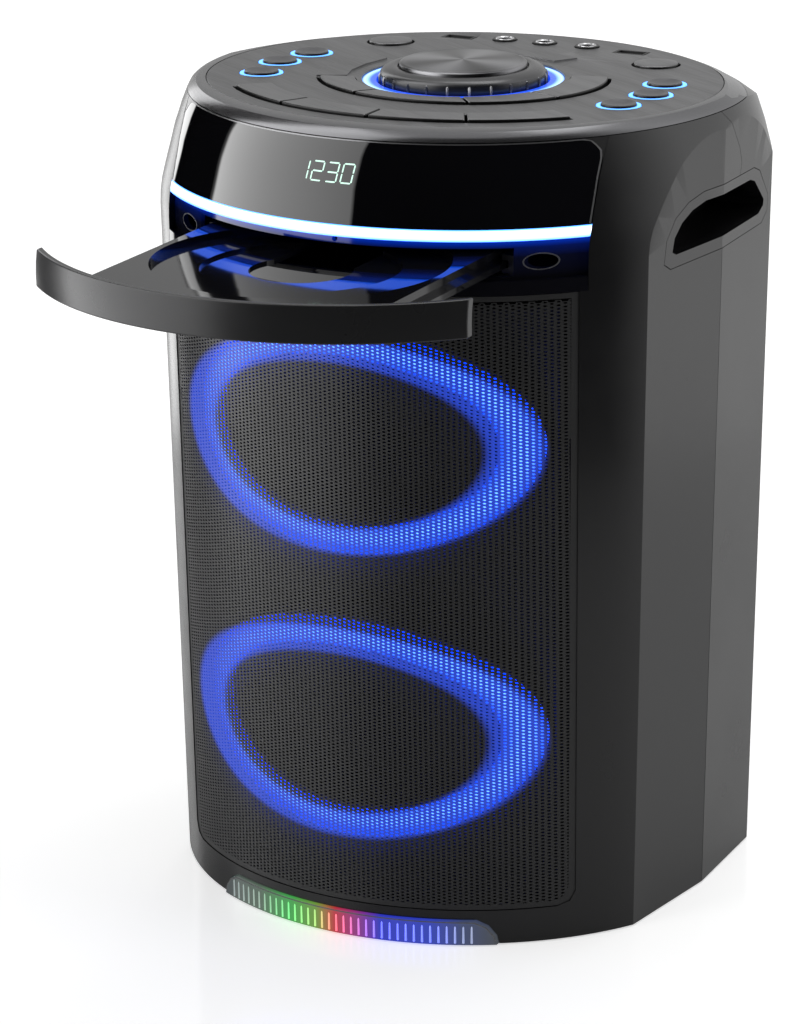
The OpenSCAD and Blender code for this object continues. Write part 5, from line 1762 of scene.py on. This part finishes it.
        # The skirt's steep faces get painted shade.
        paint_side_shade(turned_skirt, SKIRT_SIDE_SHADE, 0.4)
        rib = seed_shape("skirt_rib", *rib_shape(34.6, 36.2, 0.55, base + 0.6, base + 6.0))
        ribs = ring_of("volume_knob_ribs", rib, self.knob_ribs, (0, y, 0), Shop.get(RIB_GREY))
        outward(ribs)
        smooth(ribs, 30)
        self.add(ribs, "volume_knob", None, "volume_knob")
        shaft = turned("volume_knob_shaft", [(0, 329), (3, 329), (3, 346), (0, 346)], (0, y), 40)
        self.add(shaft, "volume_knob", STEEL, "volume_knob")
        cap = [(0, 351.3), (27.3, 351.3), (27.3, 352.9), (27.1, 353.5), (26.5, 353.9), (25.6, 354.05), (24.8, 353.95),
               (23.4, 354.3), (0, 354.6)]
        self.add(turned("knob_cap_dressed", cap, (0, y), 144), "volume_knob", CAP, "knob_cap")


def rib_shape(inner: float, outer: float, half: float, low: float, high: float) -> tuple[list[Point], list[list[int]]]:
    """Makes one rounded rib of the skirt, standing at angle 0.

    Args:
        inner: Radius of its root.
        outer: Radius of its face.
        half: Half its width.
        low: Height of its foot.
        high: Height of its top.

    Returns:
        Points and faces.
    """
    plan = [(inner, -half), (outer - 0.5, -half), (outer - 0.08, -half + 0.45), (outer, 0),
            (outer - 0.08, half - 0.45), (outer - 0.5, half), (inner, half)]
    levels = [(low, 0.0), (high - 1.6, 0.0), (high - 0.5, 0.5), (high, 1.3)]
    points = [(max(x - pull, inner), y, z) for z, pull in levels for x, y in plan]
    wide = len(plan)
    faces = [list(range(wide))[::-1], [3 * wide + i for i in range(wide)]]
    for k in range(3):
        for i in range(wide):
            j = (i + 1) % wide
            faces.append([k * wide + i, k * wide + j, (k + 1) * wide + j, (k + 1) * wide + i])
    return points, faces


def paint_side_shade(piece: bpy.types.Object, finish: Moulded, steep: float = 0.5) -> None:
    """Gives the steep faces of a piece a second, darker finish, as painted shade on its side walls.

    Args:
        piece: The piece, already dressed.
        finish: Finish of its side walls, a painted shade.
        steep: Faces whose upward share is under this are side walls.
    """
    piece.data.materials.append(Shop.get(finish))
    for face in piece.data.polygons:
        if face.normal.z < steep:
            face.material_index = 1


def flatten(piece: bpy.types.Object) -> None:
    """Joins the triangles of flat faces, so that their edges can be rounded."""
    form = bmesh.new()
    form.from_mesh(piece.data)
    bmesh.ops.dissolve_limit(form, angle_limit=math.radians(0.5), verts=form.verts, edges=form.edges)
    form.to_mesh(piece.data)
    form.free()
    smooth(piece, 28)


def join(main: bpy.types.Object, others: Iterable[bpy.types.Object]) -> None:
    """Adds the meshes of other pieces to a main one and deletes them."""
    form = bmesh.new()
    form.from_mesh(main.data)
    for other in others:
        form.from_mesh(other.data)
    form.to_mesh(main.data)
    form.free()
    for other in others:
        drop(other)


@dataclass
class BaseLight(Assembly):
    """The clear ribbed lens at the foot, with coloured lamps behind it."""

    ribs: int = 35
    half_angle: float = 27.2
    rib_low: float = 1.4
    rib_high: float = 10.2
    proud: float = 1.5
    outline_end: tuple[tuple[float, float], ...] = ((64.9, 2.4), (64.4, 4.6), (61.6, 8.6), (57.2, 11.0))
    outline_flat: tuple[float, float] = (54, 11.1)
    outline_depths: tuple[float, float] = (-0.15, 0.4)
    outline_high: float = 0.5
    outline_pull: float = 90

    def build(self) -> None:
        """Dresses the lens and lays its upright ribs on it."""
        self.wall("base_lens", "cabinet", LENS)
        face = Form.wall(self.rib_low) + self.proud
        rib = seed_shape("lens_rib", *rib_shape(face - 0.4, face + 0.45, 0.55, self.rib_low, self.rib_high))
        ribs = ring_of("base_lens_ribs", rib, self.ribs, (0, 0, 0), Shop.get(LENS_RIB),
                       -90 - self.half_angle, 2 * self.half_angle)
        outward(ribs)
        smooth(ribs, 30)
        self.add(ribs, "cabinet", None)
        self.add(self.outline(), "cabinet", TRIM)

    def outline(self) -> bpy.types.Object:
        """Builds the thin bright line along the lens's upper edge."""
        right = list(self.outline_end)
        flat_half, flat_z = self.outline_flat
        path = [(-x, z) for x, z in right] + [
            (float(x), flat_z) for x in np.linspace(-flat_half, flat_half, 41)] + right[::-1]
        points: list[Point] = []
        for depth in self.outline_depths:
            for drop_z in (0.0, self.outline_high):
                for x, z in path:
                    low_z = z - drop_z
                    radius = Form.wall(low_z) + self.proud - depth
                    points.append((x * (1 - drop_z / self.outline_pull), -math.sqrt(radius * radius - x * x), low_z))
        count = len(path)
        faces = []
        for i in range(count - 1):
            for a, b in ((0, 1), (1, 3), (3, 2), (2, 0)):
                faces.append([a * count + i, a * count + i + 1, b * count + i + 1, b * count + i])
        faces += [[0, count, 3 * count, 2 * count], [count - 1, 3 * count - 1, 4 * count - 1, 2 * count - 1]]
        piece = mesh_object("lens_outline", points, faces)
        outward(piece)
        smooth(piece, 35)
        return piece


@dataclass
class DiscDrive(Assembly):
    """The tray with its front bar and the drive that moves it."""

    travel: float = 107.0
    panel: tuple[float, float] = (290.0, 305.2)
    panel_half: float = 95.5
    thick: float = 3.0
    pin_x: float = 80.7
    pin_z: float = 296.5

    def build(self) -> None:
        """Dresses the tray and the drive."""
        self.copy("disc_tray", "disc_tray", TRAY)
        self.add(self.bar(), "disc_tray", BAR, "tray_front")
        self.paint(NYLON, "drive_gear")
        self.paint(BRASS, "motor_pulley")
        self.paint(RUBBER, "loading_belt")
        self.paint(STEEL, "loading_motor", "optical_sled")
        self.paint(SATIN, "turntable", "disc_clamp")

    def bar(self) -> bpy.types.Object:
        """Builds the curved front bar with rounded edges and its two locating pins."""
        low, high = self.panel
        half = self.panel_half
        bar = front_band("tray_front_dressed", half, low, high, 0, self.thick, 128,
                         rows=np.linspace(low, high, 7))
        for corner in bar.data.vertices:
            corner.co.y -= self.travel * MM
        bevel(bar, 0.9, 3)
        pins = []
        for sign in (-1, 1):
            start = -math.sqrt(Form.wall(self.pin_z) ** 2 - self.pin_x ** 2) - self.travel + 1.5
            pin = turned("pin", [(0, 0), (2, 0), (2, 9), (1.6, 9.6), (0, 9.6)], (0, 0), 24)
            pin.data.transform(Matrix.Translation(Vector((sign * self.pin_x, start, self.pin_z)) * MM)
                               @ Matrix.Rotation(-math.pi / 2, 4, "X"))
            pins.append(pin)
        join(bar, pins)
        return bar


def write_size(stage: str, sizes: dict[str, object]) -> None:
    """Notes the whole object's box.

    Args:
        stage: When it is noted.
        sizes: What has been noted so far; the new one is added.
    """
    sizes[stage] = [list(map(float, corner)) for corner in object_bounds()]


# Painted shade on the steep side walls of the knob's skirt.
SKIRT_SIDE_SHADE = Moulded("skirt_black", (0.015, 0.015, 0.016), (0.22, 0.32), 900, 0.1, 0.03)
LIT_CAP = Moulded("lit_cap_grey", (0.08, 0.08, 0.085), (0.3, 0.4), 900, 0.1, 0.02)
TRAY = Moulded("tray_black", (0.005, 0.005, 0.006), (0.04, 0.08), 700, 0.02, 0.01, specular=0.3)
BAR = Moulded("bar_black", (0.022, 0.022, 0.023), (0.26, 0.32), 1100, 0.03, 0.02, metallic=0.3)
CLEAR = (0.08, 0.09, 0.1)
LENS_STOPS = (
    (0.0, CLEAR), (0.18, (0.12, 0.2, 0.13)), (0.31, (0.06, 0.62, 0.1)), (0.41, (0.25, 0.5, 0.05)),
    (0.48, (0.85, 0.03, 0.05)), (0.56, (0.45, 0.03, 0.35)), (0.64, (0.03, 0.05, 0.9)),
    (0.8, (0.03, 0.07, 0.8)), (0.9, (0.06, 0.09, 0.25)), (1.0, CLEAR))
LENS = Graded("lens_light", Along.ACROSS, -65.5, 65.5, LENS_STOPS, 0.5, (0.05, 0.055, 0.06), (0.06, 0.14))
LENS_RIB = Graded("lens_rib_light", Along.ACROSS, -65.5, 65.5, LENS_STOPS, 1.5, (0.55, 0.58, 0.62), (0.06, 0.14))
STRIP = Graded("strip_light", Along.UP, 305.7, 310.0, (
    (0.0, (0.02, 0.16, 1.0)), (0.25, (0.3, 0.6, 1.0)), (0.45, (0.95, 0.98, 1.0)),
    (0.75, (0.95, 0.98, 1.0)), (1.0, (0.08, 0.3, 1.0))), 3.2, cast=(0.0, 0.07, 0.7))
# Painted light: the bay is no lamp; its emission paints the strip's blue light on it, dark at the bottom and brightest
# just under the strip.
BAY_PAINTED_LIGHT = Graded("bay_glow", Along.UP, 290.0, 305.5, (
    (0.0, (0.0, 0.0, 0.0)), (0.55, (0.0, 0.001, 0.012)), (0.8, (0.0, 0.008, 0.12)), (1.0, (0.0, 0.05, 0.8))),
    0.6, (0.005, 0.005, 0.007), (0.04, 0.08))
TRIM = Moulded("trim_grey", (0.2, 0.2, 0.205), (0.2, 0.3), 900, 0.02, 0.01, metallic=0.7)
# Black of the jack barrels, and painted shade on the side walls of keys and buttons.
SIDE_SHADE_AND_JACK_BLACK = Moulded("side_black", (0.004, 0.004, 0.004), (0.3, 0.4), 900, 0.05, 0.02, specular=0.25)
SHOULDER_GREY = Moulded("shoulder_grey", (0.07, 0.07, 0.072), (0.24, 0.32), 1000, 0.05, 0.02, metallic=0.7)
RIB_GREY = Moulded("rib_grey", (0.2, 0.2, 0.205), (0.2, 0.3), 900, 0.03, 0.02, metallic=0.7)
DIGIT = Lit("digit_green", (0.55, 1.0, 0.75), 0.9)
RING_EDGE = (0.0, 0.03, 0.85)
RING_CORE = (0.07, 0.2, 1.0)
UPPER_RING = OvalLit("upper_ring_blue", 217.5, (72.6, 41.0), RING_EDGE, RING_CORE, 4.4)
LOWER_RING = OvalLit("lower_ring_blue", 91.5, (72.6, 41.0), RING_EDGE, RING_CORE, 4.4)
# Painted light: the grille is no lamp; the blue of the rings behind it is painted on the sheet as emission.
GRILLE_PAINTED_GLOW = PaintedBacklit(
    "grille_grey", Moulded("grille_grey", (0.014, 0.014, 0.0145), (0.35, 0.5), 900, 0.1, 0.02, specular=0.5),
    (UPPER_RING, LOWER_RING), (0.02, 0.09, 1.0), 0.5)
KNOB_LIGHT = Graded("knob_light", Along.OUTWARD, 36.0, 43.2, (
    (0.0, (0.0, 0.02, 0.4)), (0.45, (0.0, 0.08, 0.9)), (0.68, (0.3, 0.6, 1.0)), (0.82, (0.5, 0.78, 1.0)),
    (1.0, (0.02, 0.16, 0.9))), 1.5, (0.02, 0.05, 0.3))
BUTTON_LIGHT = Lit("button_light", (0.1, 0.36, 1.0), 2.4, (0.1, 0.2, 0.6))


def main() -> None:
    """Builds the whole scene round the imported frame."""
    logging.basicConfig(level=logging.INFO, format="%(message)s")
    scene = bpy.context.scene
    scene.view_settings.view_transform = "Standard"
    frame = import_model()
    sizes: dict[str, object] = {}
    write_size("frame", sizes)
    Studio().build()
    for assembly in (Cabinet, Front, Speakers, ControlTop, BaseLight, DiscDrive):
        LOG.info("building %s", assembly.__name__)
        assembly(frame).build()
    write_size("dressed", sizes)


if __name__ == "__main__":
    main()
